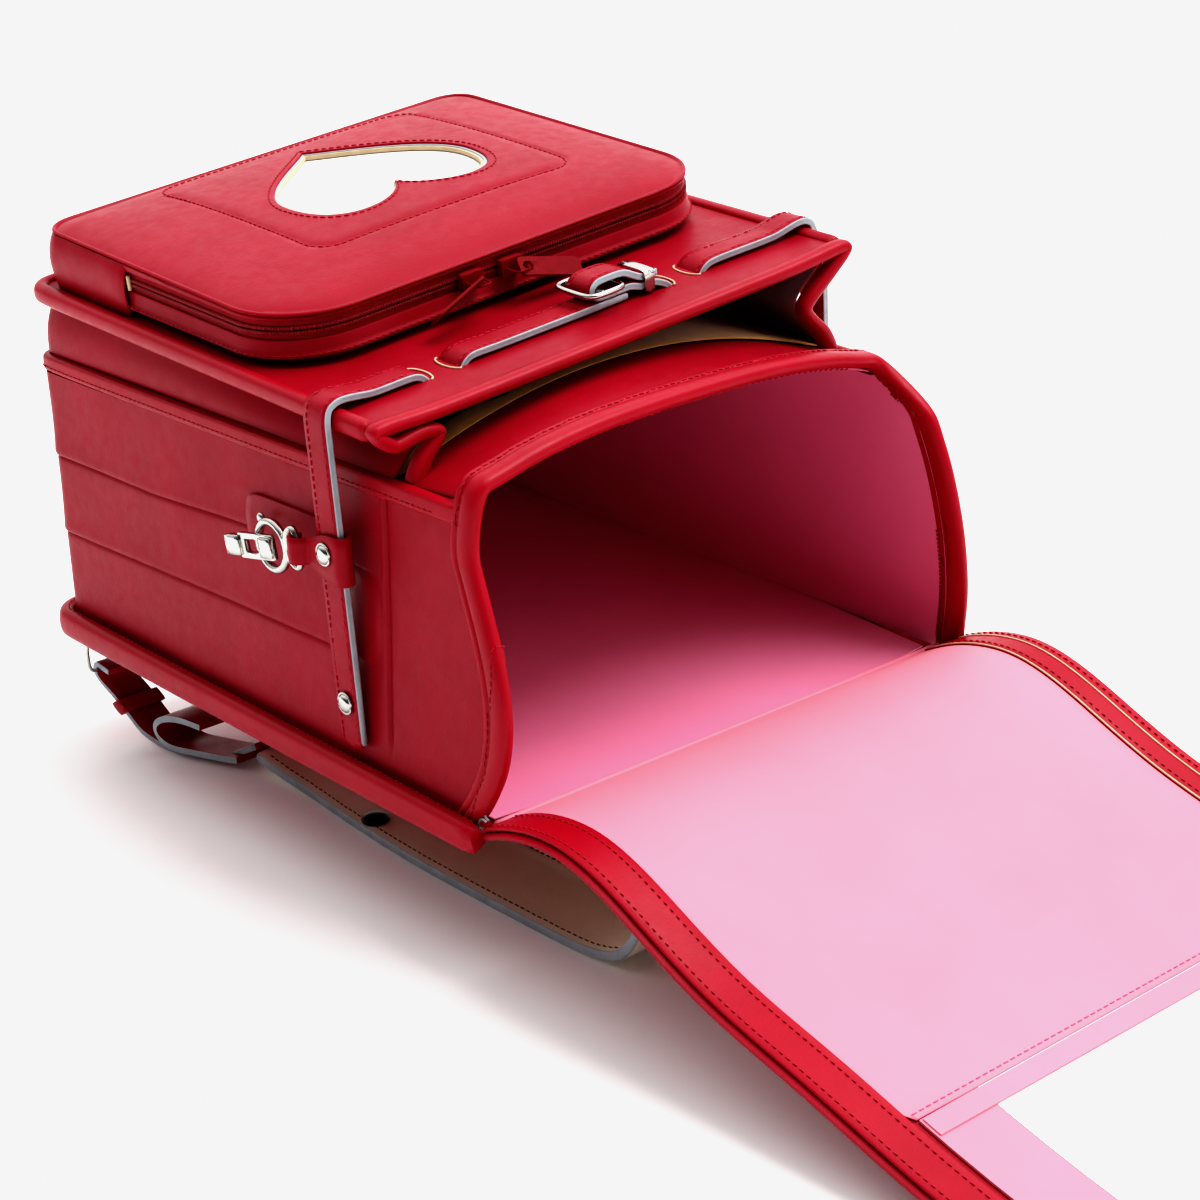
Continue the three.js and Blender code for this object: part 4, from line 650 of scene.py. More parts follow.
wallRelief = {      # pressed lines on the sides in mm, as (distance from the hinge, height)
    "upper": [(313, 81), (227, 82), (152, 86), (70, 88)],
    "lower": [(313, 45), (235, 47), (159, 49), (95, 50), (60, 50)],
    "lineDepth": 0.9, "lineWidth": 1.1, "lineStart": 70, "lineFade": 16, "shoulder": 1.5, "shoulderWidth": 8,
    # the pressed edge of the front post, and the step at its foot
    "post": 61, "postDepth": 0.8, "postWidth": 1.3, "postSwell": 0.9, "swellWidth": 7, "postFoot": 15,
    "footFade": 5, "stepFade": 4,
    "ovalY": 76, "ovalZ": 68, "ovalReachY": 11, "ovalReachZ": 19, "ovalSwell": 1.1, "ovalStart": 0.82,
    "ovalFade": 0.3,      # the soft swell under the hook's tab
    "wave": 0.5, "waveSize": 55, "foot": 3.3, "top": 119.7, "underBinding": 7,
    "leather": 2.4, "liningOut": 2.6, "liningIn": 3.7, "liningSetback": 2,
    "denseStart": 58, "densePitch": 0.75, "denseEnd": 66, "levelY": 40,      # closer points round the post
    "zones": 3, "denseSteps": 18, "plainSteps": 8, "crowding": 2.6,
}


def readLine(line, y):
    for (y1, z1), (y0, z0) in zip(line, line[1:]):
        if y0 <= y <= y1:
            return between(z0, z1, (y - y0) / (y1 - y0))
    return line[0][1] if y > line[0][0] else line[-1][1]


# How far the leather of a side stands out at a point of it
def wallHeight(y, z):
    look = wallRelief
    post, foot = look["post"], look["postFoot"]
    fade = softStep((y - look["lineStart"]) / look["lineFade"])
    height = 0.0
    for line in (readLine(look["upper"], y), readLine(look["lower"], y)):
        height -= look["lineDepth"] * bell(z - line, look["lineWidth"]) * fade
        if z > line:
            height += look["shoulder"] * math.exp(-(z - line) / look["shoulderWidth"]) * fade
    rise = softStep((z - foot) / look["footFade"])
    height -= look["postDepth"] * bell(y - post, look["postWidth"]) * rise
    if y > post:
        height += look["postSwell"] * math.exp(-(y - post) / look["swellWidth"]) * rise
    if y < post:
        step = bell(z - foot, look["postWidth"]) * softStep((post - y) / look["stepFade"])
        height -= look["postDepth"] * step
    away = math.hypot((y - look["ovalY"]) / look["ovalReachY"], (z - look["ovalZ"]) / look["ovalReachZ"])
    return height + look["ovalSwell"] * (1 - softStep((away - look["ovalStart"]) / look["ovalFade"]))


# The wall from above at one level, in bag millimetres: near side, bottom and far side
def wallLevel(part, inset, start, relieved):
    box, look = boxMeasures, wallRelief
    row = []

    def level(y):
        heights = [look["foot"], readLine(look["lower"], y), readLine(look["upper"], y), look["top"]]
        zone = min(int(part), look["zones"] - 1)
        return between(heights[zone], heights[zone + 1], part - zone)

    def lift(side, y, z):
        wave = look["wave"] * noise.noise(Vector((side, y, z)) / look["waveSize"])
        return wave + (wallHeight(y, z) if relieved else 0.0)

    for side in (-1, 1):
        half = []
        front = mouthEdge(side, level(look["levelY"])) + start
        stations = spread(front, look["denseStart"], 12)[:-1]
        stations += [look["denseStart"] + k * look["densePitch"] for k in range(10)]
        for y in stations + spread(look["denseEnd"], turnStart, 70):
            z = level(y)
            half.append(Vector((side * (halfWidth(y, z) - inset + lift(side, y, z)), y, z)))
        z = level(turnStart)
        middle = halfWidth(turnStart, z) - box["corner"]
        out = lift(side, turnStart, z)
        for k in range(1, 9):
            angle, radius = k * math.pi / 16, box["corner"] - inset + out * (1 - k / 8)
            x, y = middle + radius * math.cos(angle), turnStart + radius * math.sin(angle)
            half.append(Vector((side * x, y, z)))
        row += half if side < 0 else half[::-1]
        if side < 0:
            bottom = turnStart + box["corner"] - inset
            row += [Vector((x, bottom, z)) for x in spread(-middle, middle, 20)[1:-1]]
    return row


# Shares of the wall's height in its three zones, crowded at the pressed lines where it is dense
def levelParts(dense):
    parts = []
    for zone in range(wallRelief["zones"]):
        for t in spread(0, 1, wallRelief["denseSteps" if dense else "plainSteps"])[:-1]:
            crowd = math.sin(2 * math.pi * t) / (wallRelief["crowding"] * math.pi) if dense else 0
            parts.append(zone + t - crowd)
    return parts + [wallRelief["zones"] - 1e-6]


def wallSheet(name, material, outward, inward, start, node, dense):
    parts = levelParts(dense)
    grids = [[wallLevel(part, inset, start, dense and inset == 0) for part in parts]
             for inset in (outward, inward)]
    return sheetPiece(name, grids, [material], [node])


look = wallRelief
wallSheet("sideWall", crimson, 0, look["leather"], look["underBinding"], "gusset_wall", True)
sideLining = wallSheet("sideLining", shadedBoxPink, look["liningOut"], look["liningIn"],
                       look["underBinding"] + look["liningSetback"], "gusset_lining", False)


def panelFront(at):
    box = boxMeasures
    return frontEdge(clamped(at.x / halfWidth(box["setback"], box["height"]), -1, 1)).y + box["setback"]


# Slides a piece's front end forward, under the binding of the opening
def tuckUnder(piece, reach, depth):
    for vertex in piece.data.vertices:
        at = inBag(vertex.co)
        vertex.co.y -= reach * mm * (1 - softStep((at.y - panelFront(at)) / depth))
    piece.data.update()


topBinding = softened("topBinding", "top_binding", [bindingRed], sharp=80, swell=0.35)
tuckUnder(topBinding, 5, 20)
backPanel = softened("backPanel", "back_panel", [crimson], crease=0.95)
floorLining = softened("floorLining", "back_lining", [shadedBoxPink], crease=0.9)
rim = softened("backRim", "back_rim", [bindingRed], sharp=80)
frontPanel = softened("frontPanel", "front_panel", [crimson])
frontLining = softened("frontLining", "front_lining", [shadedBoxPink])
for sheet in (frontPanel, frontLining):
    tuckUnder(sheet, 6, 30)
facing = softened("suedeFacing", "divider_facing", [suede])
softened("keyStrap", "key_strap", [webbing])
softened("keyRing", "key_ring", [blackMetal])

gussetLook = {      # lining inside the folds, and the folds drawn in towards the middle, mm
    "middle": (0, 160, 140), "liningSide": 0.3, "liningBack": 0.5, "backStart": 140,
    "from": 95, "setIn": 4.5, "start": 75, "fade": 50, "low": 125, "tall": 44,
    "legs": 6, "legFade": 9, "legFrom": 80,      # the binding's legs reach down to the front panel
}


def makeGusset():
    look = gussetLook
    gusset = softened("pocketGusset", "mid_gusset", [crimson, greyLining], sharp=70)
    for face in gusset.data.polygons:
        out = face.center - bagSpot(*look["middle"])
        inside = face.normal.x * out.x < -look["liningSide"] * abs(out.x)
        if inside or (out.y > look["backStart"] * mm and face.normal.y < -look["liningBack"]):
            face.material_index = 1
    for vertex in gusset.data.vertices:
        at = inBag(vertex.co)
        if abs(at.x) > look["from"]:
            bend = math.sin(math.pi * clamped((at.z - look["low"]) / look["tall"]))
            setIn = look["setIn"] * softStep((at.y - look["start"]) / look["fade"]) * bend
            vertex.co.x -= math.copysign(setIn * mm, at.x)
    binding = softened("pocketBinding", "pocket_mouth_binding", [bindingRed], sharp=80, swell=0.7)
    points = binding.data.vertices
    for side in (-1, 1):
        lowest = min(vertex.co.z for vertex in points if vertex.co.x * side > 0)
        for vertex in points:
            over = (vertex.co.z - lowest) / mm
            if vertex.co.x * side > look["legFrom"] * mm and over < look["legFade"]:
                vertex.co.z -= look["legs"] * (1 - softStep(over / look["legFade"])) * mm


makeGusset()
softened("boardEdging", "board_edging", [bindingRed], sharp=80, swell=0.4)

boardLook = {
    "half": 117.5, "start": -1.0, "end": 249.5, "thick": 4.6, "wave": 0.45, "waveSize": 34, "waveSeed": 7,
    "cells": 70,
}


def makeBoard():
    look = boardLook
    grids = []
    for side in (1, -1):
        grid = []
        for along in spread(look["start"], look["end"], look["cells"]):
            row = []
            for across in spread(-look["half"], look["half"], look["cells"]):
                height = side * look["thick"] / 2
                if side > 0:
                    seed = Vector((across, along, look["waveSeed"]))
                    height += look["wave"] * noise.noise(seed / look["waveSize"])
                row.append(inBag(boardSpot(across, along, height)))
            grid.append(row)
        grids.append(grid)
    sheetPiece("frontBoard", grids, [crimson], ["front_board"])


makeBoard()

hinge = {      # piping where the floor meets the flap, and thread ends knotted at its corners, mm
    "half": 118, "rollY": 1.2, "rollZ": 4.4, "roll": 1.7, "pipingY": -1.1, "pipingZ": 3.0, "piping": 0.8,
    "knotX": 122.5, "knotLong": 3.4, "knotTall": 3.6, "knotStart": -80, "knotStep": 16, "thread": 0.45,
    "knots": ((0, -1, 12, 0), (1, 1.5, 5, 40)),      # further out, y, z, turned by degrees
}


def makeHinge():
    look = hinge
    line = spread(-look["half"], look["half"], 40)
    tubeAlong("floorRoll", [bagSpot(x, look["rollY"], look["rollZ"]) for x in line], look["roll"], pink)
    tubeAlong("hingePiping", [bagSpot(x, look["pipingY"], look["pipingZ"]) for x in line], look["piping"],
              crimson, sides=8)
    for side, name in sides:
        for part, (out, y, z, turn) in enumerate(look["knots"]):
            loop = []
            for k in range(11):
                angle = math.radians(turn + look["knotStart"] + look["knotStep"] * k)
                loop.append(bagSpot(side * (look["knotX"] + out), y + look["knotLong"] * math.cos(angle),
                                    z + look["knotTall"] * math.sin(angle)))
            tubeAlong("cornerThread%s%d" % (name, part), loop, look["thread"], edgePaint, sides=6)


makeHinge()
print("leather box")


mouthBand = {      # leather folded over the edge of the opening: its section as (behind the edge, outward)
    "section": [(0.0, 0.0), (0.3, 1.5), (1.5, 2.6), (3.5, 3.1), (6.5, 3.05), (8.2, 2.75), (9.0, 2.35),
                (9.8, 2.75), (11.5, 2.85), (12.6, 2.4), (13.0, 1.4), (13.0, -1.6), (12.6, -2.9),
                (11.5, -3.3), (9.8, -3.1), (9.0, -2.6), (8.2, -3.1), (6.5, -3.4), (3.5, -3.2), (1.5, -2.6),
                (0.3, -1.5)],
    "rises": [0.035, 0.07, 0.11, 0.15, 0.22, 0.3, 0.4, 0.5, 0.6, 0.7, 0.8, 0.88],
    "across": [-0.965, -0.88, -0.7, -0.45, -0.15, 0.15, 0.45, 0.7, 0.88, 0.965], "fine": 8, "rounds": 12,
    "inset": 1.2,
    # the seam, read by turning round an axis at this height from one angle to the other
    "axis": 62, "seam": 9, "turns": (208, -28, 150), "reach": range(-25, 35),
}


# A smooth line through points
def smoothLine(points, fine):
    line = []
    for i in range(len(points) - 1):
        a, b, c, d = points[max(0, i - 1)], points[i], points[i + 1], points[min(len(points) - 1, i + 2)]
        for k in range(fine):
            t = k / fine
            line.append(0.5 * (2 * b + (c - a) * t + (2 * a - 5 * b + 4 * c - d) * t * t
                               + (3 * b - a - 3 * c + d) * t ** 3))
    return line + [points[-1]]


def mouthRoute():
    look = mouthBand

    def sideSpot(side, rise):
        z = rise * boxMeasures["height"]
        y = mouthEdge(side, z)
        return Vector((side * (halfWidth(y, z) - look["inset"]), y, z))

    near = [sideSpot(-1, rise) for rise in look["rises"]]
    far = [sideSpot(1, rise) for rise in reversed(look["rises"])]
    route = smoothLine(near + [frontEdge(part) for part in look["across"]] + far, look["fine"])
    for _ in range(look["rounds"]):
        inner = [(a + 2 * b + c) / 4 for a, b, c in zip(route, route[1:], route[2:])]
        route = [route[0]] + inner + [route[-1]]
    return route


# The band's section carried along its route, one side of it kept along y
def makeMouthBinding():
    route, section = mouthRoute(), mouthBand["section"]
    points = []
    for i, at in enumerate(route):
        ahead = route[min(len(route) - 1, i + 1)] - route[max(0, i - 1)]
        outward = Vector((0, 1, 0)).cross(ahead).normalized()
        points += [bagSpot(*(at + Vector((0, behind, 0)) + outward * out)) for behind, out in section]
    faces = ringFaces(len(route), len(section)) + endFaces(len(route), len(section))
    return meshPiece("mouthBinding", points, faces, [bindingRed], ["opening_binding"], sharp=60)


mouthBinding = makeMouthBinding()


# The seam of the mouth's binding, outside or inside, at one distance behind its front edge
def mouthSeam(inside):
    look = mouthBand
    surface = surfaceOf(mouthBinding)
    path = []
    for turn in spread(*look["turns"]):
        out = Vector((math.cos(math.radians(turn)), 0, math.sin(math.radians(turn))))

        def struck(y):
            origin = bagSpot(0, y, look["axis"])
            if inside:
                return surface.ray_cast(origin, out)[0]
            return surface.ray_cast(origin + out * 0.4, -out)[0]

        edge = next((y for y in look["reach"] if struck(y) is not None), None)
        hit = None if edge is None else struck(edge + look["seam"])
        if hit is not None:
            path.append(hit + out * (-2 if inside else 2) * mm)
    return surface, path, None, False


boxSewing = {      # lines round the wall as (height, outside it, front end), mm
    "top": (122, 5, 30), "rim": (6, 3.4, 4), "needle": 24, "radius": 0.3,
}


def sewBox(look):
    rimPath = [at + upward * look["needle"] * mm for at in roundWall(*look["rim"])]
    rows = [mouthSeam(False), mouthSeam(True), (surfaceOf(topBinding), roundWall(*look["top"]), None, False),
            (surfaceOf(rim), rimPath, -upward, False)]
    sew("boxStitches", rows, thread, radius=look["radius"])


sewBox(boxSewing)
print("box stitches")

# Zip pocket

pocket = {      # in the front board's frame, mm
    "width": 226, "front": 62, "length": 185, "frontRadius": 36, "backRadius": 14,
    "floor": 2.8, "base": 10.5, "zip": 7.5, "rise": 1, "gap": 0.3, "lidFront": 4, "lidBack": 7,
    "crown": 6.5, "shoulder": 2.4, "shoulderWidth": 7.5,
    "heartWidth": 96, "heartLength": 90, "heartAlong": 172, "heartAcross": 4,
    "frameWidth": 134, "frameLength": 129, "frameCorner": 12, "frameMiddle": (5, 172),
    "frameDent": 0.55, "dentWidth": 1.3, "framePuff": 0.35, "puffWidth": 6,      # pressed frame
    "turns": 360,
}


def alongPocket(along):
    return clamped((along - pocket["front"]) / pocket["length"])


def zipFoot(along):
    return pocket["floor"] + pocket["base"] + pocket["rise"] * alongPocket(along)


def zipTop(along):
    return zipFoot(along) + pocket["gap"] + pocket["zip"]


def lidEdge(along):
    return zipTop(along) + pocket["gap"] + between(pocket["lidFront"], pocket["lidBack"], alongPocket(along))


# The pocket's outline from above, pulled in by an inset
def pocketOutline(inset, steps=16):
    side = pocket["width"] / 2 - inset
    front, back = pocket["front"] + inset, pocket["front"] + pocket["length"] - inset
    big, small = max(2, pocket["frontRadius"] - inset), max(1, pocket["backRadius"] - inset)
    corners = ((side - big, front + big, big, -90), (side - small, back - small, small, 0),
               (-side + small, back - small, small, 90), (-side + big, front + big, big, 180))
    return [spot for corner in corners for spot in quarter(*corner, steps)]


# Where rays from the heart's middle at even turns meet a closed outline
def byTurns(outline):
    cx, cy = pocket["heartAcross"], pocket["heartAlong"]
    polar = sorted((math.atan2(y - cy, x - cx), math.hypot(x - cx, y - cy)) for x, y in outline)
    polar = [(polar[-1][0] - 2 * math.pi, polar[-1][1])] + polar + [(polar[0][0] + 2 * math.pi, polar[0][1])]
    made, leg = [], 0
    for k in range(pocket["turns"]):
        angle = -math.pi + 2 * math.pi * k / pocket["turns"]
        while polar[leg + 1][0] < angle:
            leg += 1
        (a0, r0), (a1, r1) = polar[leg], polar[leg + 1]
        x0, y0, x1, y1 = r0 * math.cos(a0), r0 * math.sin(a0), r1 * math.cos(a1), r1 * math.sin(a1)
        dx, dy = math.cos(angle), math.sin(angle)
        cross = dx * (y1 - y0) - dy * (x1 - x0)
        reach = (x0 * (y1 - y0) - y0 * (x1 - x0)) / cross if abs(cross) > 1e-9 else r0
        made.append((cx + dx * reach, cy + dy * reach))
    return made


# The heart's two curves on one side as shares of its width and length, mirrored for the other
heartCurves = [((0, -0.28), (0.08, -0.5), (0.5, -0.62), (0.5, -0.15)),
               ((0.5, -0.15), (0.5, 0.1), (0.18, 0.3), (0, 0.5))]


def heartOutline(grow, steps=40):
    wide, long = pocket["heartWidth"] + 2 * grow, pocket["heartLength"] + 2 * grow
    right = []
    for curve in heartCurves:
        for k in range(steps):
            t = k / steps
            s = 1 - t
            weights = (s ** 3, 3 * s * s * t, 3 * s * t * t, t ** 3)
            x, y = (sum(v * spot[i] for v, spot in zip(weights, curve)) for i in (0, 1))
            right.append((x * wide, y * long))
    right.append((0, 0.5 * long))
    left = [(-x, y) for x, y in reversed(right[1:-1])]
    return [(x + pocket["heartAcross"], y + pocket["heartAlong"]) for x, y in right + left]


def frameDistance(x, y):
    radius, (cx, cy) = pocket["frameCorner"], pocket["frameMiddle"]
    dx = abs(x - cx) - (pocket["frameWidth"] / 2 - radius)
    dy = abs(y - cy) - (pocket["frameLength"] / 2 - radius)
    return math.hypot(max(dx, 0), max(dy, 0)) + min(max(dx, dy), 0) - radius


def lidCrown(x, y, inset):
    across = clamped(abs(2 * x) / pocket["width"])
    along = abs(2 * alongPocket(y) - 1)
    crown = pocket["crown"] * (1 - across ** 2.5) * (1 - along ** 2.5)
    return lidEdge(y) + crown - pocket["shoulder"] * math.exp(-inset / pocket["shoulderWidth"])


def turnedPocket(inset):
    return byTurns(pocketOutline(inset))


def turnedHeart(grow):
    return byTurns(heartOutline(grow))


# Rings of points from a table of (inset of an outline, height over a level)
def ringsOver(rows, outline, level):
    return [[boardSpot(x, y, level(x, y) + over) for x, y in outline(inset)] for inset, over in rows]


lidLook = {      # rings of the lid from the zip round to the heart, mm
    "overZip": [(3.0, 1.2), (0.9, 0.3), (0.35, 0.6), (0.0, 1.4)],      # (inset, over the zip)
    # the lid's rolled side: (inset, over its lower edge)
    "side": [(0.1, -0.6), (0.8, -0.1), (0.5, 0.1), (0.0, 0.4), (-0.2, 0.8), (0.0, 1.25), (0.5, 1.55),
             (1.1, 1.5), (1.6, 1.1)],
    "sideDrop": 2.4, "crownStart": 1.9, "crownEnd": 22, "crownSteps": 12, "lift": 0.35, "liftWidth": 4,
    "heartInset": 40, "heartSteps": 44, "heartEdge": 0.6, "overCrown": 0.7,
    "lip": [(0.25, -0.15), (0.0, -0.5), (-0.05, -1.1), (0.0, -1.9), (0.6, -2.2)],      # (grown, over the top)
    "thick": 2.3, "thickSide": 2.6, "underInset": 3.0,
    # layers of the heart's edge: (grown, over the top)
    "layers": [(-0.1, -0.9), (-1.1, -0.95), (-1.25, -1.4), (-2.3, -1.45), (-2.4, -1.7), (-2.4, -3.2),
               (-0.1, -3.2)],
    "layerPaint": [1, 1, 0, 0, 0, 0, 0],
}


def makeLid():
    look = lidLook
    start, end, inner = look["crownStart"], look["crownEnd"], look["heartInset"]
    rings = ringsOver(look["overZip"], turnedPocket, lambda x, y: zipTop(y))
    rings += ringsOver(look["side"], turnedPocket, lambda x, y: lidEdge(y) - look["sideDrop"])
    for inset in spread(start, end, look["crownSteps"]):
        lift = look["lift"] * (1 - math.exp(-(inset - start) / look["liftWidth"]))
        rings += ringsOver([(inset, lift)], turnedPocket, lambda x, y: lidCrown(x, y, inset))
    outer, heartEdge = turnedPocket(end), turnedHeart(look["heartEdge"])
    for part in spread(0, 1, look["heartSteps"])[1:]:
        ring = []
        for (x0, y0), (x1, y1) in zip(outer, heartEdge):
            x, y = between(x0, x1, part), between(y0, y1, part)
            away = frameDistance(x, y)
            height = lidCrown(x, y, between(end, inner, part)) + look["lift"]
            height -= pocket["frameDent"] * bell(away, pocket["dentWidth"])
            height += pocket["framePuff"] * softStep(-away / pocket["puffWidth"])
            ring.append(boardSpot(x, y, height))
        rings.append(ring)

    def top(x, y):
        return lidCrown(x, y, inner) + look["overCrown"]

    rings += ringsOver(look["lip"], turnedHeart, top)
    below = turnedPocket(look["underInset"])
    for part in (0.5, 1.0):
        ring = []
        for (x0, y0), (x1, y1) in zip(heartEdge, below):
            x, y = between(x0, x1, part), between(y0, y1, part)
            height = lidCrown(x, y, inner * (1 - part)) - look["thickSide"]
            ring.append(boardSpot(x, y, min(top(x0, y0) - look["thick"], height)))
        rings.append(ring)
    lid = ringPiece("pocketLid", rings, [crimson], ["pocket_lid"], sharp=50)
    layers = ringsOver(look["layers"], turnedHeart, top)
    ringPiece("heartEdge", layers, [beigeEdge, edgePaint], ["heart_edging"], look["layerPaint"])
    return lid


inlay = {"drop": 2.9, "grow": 1.5, "thick": 0.8, "parts": [0.08, 0.3, 0.5, 0.7, 0.85, 1.0]}


def makeInlay():
    look = inlay
    cx, cy = pocket["heartAcross"], pocket["heartAlong"]
    outline = turnedHeart(look["grow"])
    count, size = len(outline), 1 + len(look["parts"]) * len(outline)
    points, faces = [], []
    for under in (0, look["thick"]):
        for part in [None] + look["parts"]:
            ring = outline if part else [(cx, cy)]
            for x, y in ring:
                px, py = between(cx, x, part or 0), between(cy, y, part or 0)
                height = lidCrown(px, py, lidLook["heartInset"]) - look["drop"] - under
                points.append(boardSpot(px, py, height))
    rings = ringFaces(len(look["parts"]), count)
    for base in (0, size):
        faces += [[base, base + 1 + i, base + 1 + (i + 1) % count] for i in range(count)]
        faces += [[base + 1 + i for i in face] for face in rings]
    last = size - count
    for i in range(count):
        j = (i + 1) % count
        faces.append([last + i, size + last + i, size + last + j, last + j])
    meshPiece("heartInlay", points, faces, [card], ["heart_inlay"], sharp=40)


lid = makeLid()
makeInlay()

baseLook = {      # (inset, over the zip's foot), then (inset, over the pocket's floor)
    "belowZip": [(2.6, 0), (0.5, 0), (0.1, -0.8)],
    "wall": [(0.0, 6.2), (-0.5, 5.2), (-1.1, 4.6), (-1.3, 3.9), (-0.9, 3.3), (0.4, 3.0), (2.2, 2.4),
             (4.0, 1.2), (5.0, 0), (7.0, 0)],
}
zipLayout = {      # over the middle of the zip, mm
    "tapes": (("zipTapeLow", -3.9, -0.35), ("zipTapeHigh", 0.35, 3.9)), "outer": 1.5, "inner": 2.3,
    # section of a coil: (over the middle, outward)
    "coil": ((0.15, 0.0), (0.3, 0.75), (1.0, 1.05), (1.7, 0.75), (2.0, 0.0), (1.0, -0.4)),
    "pitch": 0.42, "ridge": 0.28, "perTooth": 3, "cornerSteps": 24,
}


def makeBase():
    rings = ringsOver(baseLook["belowZip"], pocketOutline, lambda x, y: zipFoot(y))
    rings += ringsOver(baseLook["wall"], pocketOutline, lambda x, y: pocket["floor"])
    return ringPiece("pocketBase", rings, [crimson], ["pocket_base"])


def makeZip():
    look = zipLayout

    def middle(x, y):
        return (zipFoot(y) + zipTop(y)) / 2

    for name, start, end in look["tapes"]:
        corners = ((look["outer"], start), (look["outer"], end), (look["inner"], end), (look["inner"], start))
        ringPiece(name, ringsOver(corners, pocketOutline, middle), [zipTape], ["pocket_zip"])
    path = [Vector((x, y, 0)) for x, y in pocketOutline(look["outer"], look["cornerSteps"])]
    marks = evenly(path, look["pitch"], closed=True)
    for way, name in ((-1, "zipCoilLow"), (1, "zipCoilHigh")):
        rings = []
        for over, out in look["coil"]:
            ring = []
            for k, (at, ahead) in enumerate(marks):
                ridge = look["ridge"] * math.cos(2 * math.pi * k / look["perTooth"]) if out > 0 else 0
                spot = at + Vector((ahead.y, -ahead.x, 0)) * (out + ridge)
                ring.append(boardSpot(spot.x, spot.y, middle(spot.x, spot.y) + way * over))
            rings.append(ring)
        ringPiece(name, rings, [coil], ["pocket_zip"])


base = makeBase()
makeZip()

heel = {      # leather round the pocket's back, over both ends of the zip
    "start": 178, "bulge": 1.5, "out": 1.7, "thick": 1.5, "levels": 14, "steps": 24, "floorGap": 0.3,
    "lidGap": 2.5, "seam": 3.5, "seamDepth": 0.7, "seamWidth": 0.9, "edgeDepth": 0.8, "edgeWidth": 0.8,
    "wave": 0.3, "waveSize": 14, "waveTall": 20,
    # the zip's pale stops before it
    "stopBefore": 1.6, "stopOut": 0.2, "stopFoot": 0.9, "stopTall": 6.2, "stop": 0.9,
}


# Points of the heel from above with the way out at each, along one side, round the back and along the other
def heelPath():
    side, back, small = pocket["width"] / 2, pocket["front"] + pocket["length"], pocket["backRadius"]
    legs = spread(heel["start"], back - small, heel["steps"])
    across = spread(side - small, small - side, heel["steps"])
    path = [((side, y), (1, 0)) for y in legs[:-1]]
    for way, start in ((1, 0), (-1, 90)):
        for x, y in quarter(0, 0, 1, start, 12):
            path.append(((way * (side - small) + small * x, back - small + small * y), (x, y)))
        if way > 0:
            path += [((x, back), (0, 1)) for x in across[1:-1]]
    return path + [((-side, y), (-1, 0)) for y in legs[-2::-1]]


def makeHeel():
    look = heel
    path, grids = heelPath(), []
    for inner in (0, look["thick"]):
        grid = []
        for t in spread(0, 1, look["levels"]):
            row = []
            for (x, y), (ox, oy) in path:
                out = look["out"] * (1 - t ** 6) + look["bulge"] * math.sin(math.pi * t) - inner
                seed = Vector((x, y, t * look["waveTall"]))
                out += look["wave"] * noise.noise(seed / look["waveSize"])
                if abs(oy) < 0.1 and not inner:
                    out -= look["seamDepth"] * bell(y - look["start"] - look["seam"], look["seamWidth"])
                    out -= look["edgeDepth"] * bell(y - look["start"], look["edgeWidth"])
                height = between(pocket["floor"] + look["floorGap"], lidEdge(y) - look["lidGap"], t)
                row.append(inBag(boardSpot(x + ox * out, y + oy * out, height)))
            grid.append(row)
        grids.append(grid)
    sheetPiece("pocketHeel", grids, [crimson], ["pocket_tab_near", "pocket_tab_far"])
    for side, name in sides:
        y, x = look["start"] - look["stopBefore"], side * (pocket["width"] / 2 + look["stopOut"])
        foot = zipFoot(y) + look["stopFoot"]
        stop = [boardSpot(x, y, height) for height in spread(foot, foot + look["stopTall"], 6)]
        tubeAlong("zipEnd" + name, stop, look["stop"], beigeEdge, sides=8)


makeHeel()
for side, name in sides:
    softened("zipSlider" + name, "zip_slider_" + name.lower(), [sliderPaint], sharp=50, crease=0.55)
    softened("zipPull" + name, "zip_pull_" + name.lower(), [sliderPaint], sharp=50)


pocketSewing = {"needle": 60, "heartAway": 3.2, "lipHeight": 5.6, "lipOut": 4, "frameSteps": 10}


def sewPocket():
    look, surface = pocketSewing, surfaceOf(lid)
    radius, (cx, cy) = pocket["frameCorner"], pocket["frameMiddle"]
    x, y = pocket["frameWidth"] / 2 - radius, pocket["frameLength"] / 2 - radius
    corners = ((x, -y, -90), (x, y, 0), (-x, y, 90), (-x, -y, 180))
    frameLine = [spot for dx, dy, start in corners for spot in quarter(cx + dx, cy + dy, radius, start,
                                                                                look["frameSteps"])]
    rows = [(surface, [boardSpot(x, y, look["needle"]) for x, y in outline], -boardUp, True)
            for outline in (frameLine, heartOutline(look["heartAway"]))]
    sew("lidStitches", rows, thread)
    lip = [boardSpot(x, y, pocket["floor"] + look["lipHeight"]) for x, y in pocketOutline(-look["lipOut"])]
    sew("baseStitches", [(surfaceOf(base), lip, None, True)], thread, radius=0.28)


sewPocket()
print("zip pocket")

# Belts, buckle and hook

sideways = Vector((0, 1, 0))
belts = [softened("belt" + name, "side_belt_" + name.lower(), [crimson, edgePaint], crease=0.9)
         for side, name in sides]
for belt in belts:
    paintEdges(belt, sideways)
softened("beltBuckle", "belt_buckle", [nickel], sharp=75, crease=0.3, swell=0.3)
softened("beltKeeper", "belt_keeper", [nickel], crease=0.7)
rivets = (("Near", "rivet_belt_near", -1), ("Far", "rivet_belt_far", 1), ("Hook", "rivet_hook", -1))
for name, node, side in rivets:
    softened("rivet" + name, node, [nickel], sharp=70, crease=0.6)
softened("hookTab", "hook_tab", [crimson, edgePaint])
softened("hookPatch", "hook_patch", [crimson], crease=0.6)
softened("hookRing", "hook_ring", [nickel], sharp=75, crease=0.2, swell=0.55)
softened("hookLever", "hook_lever", [nickel], sharp=50, crease=0.6, swell=0.25)

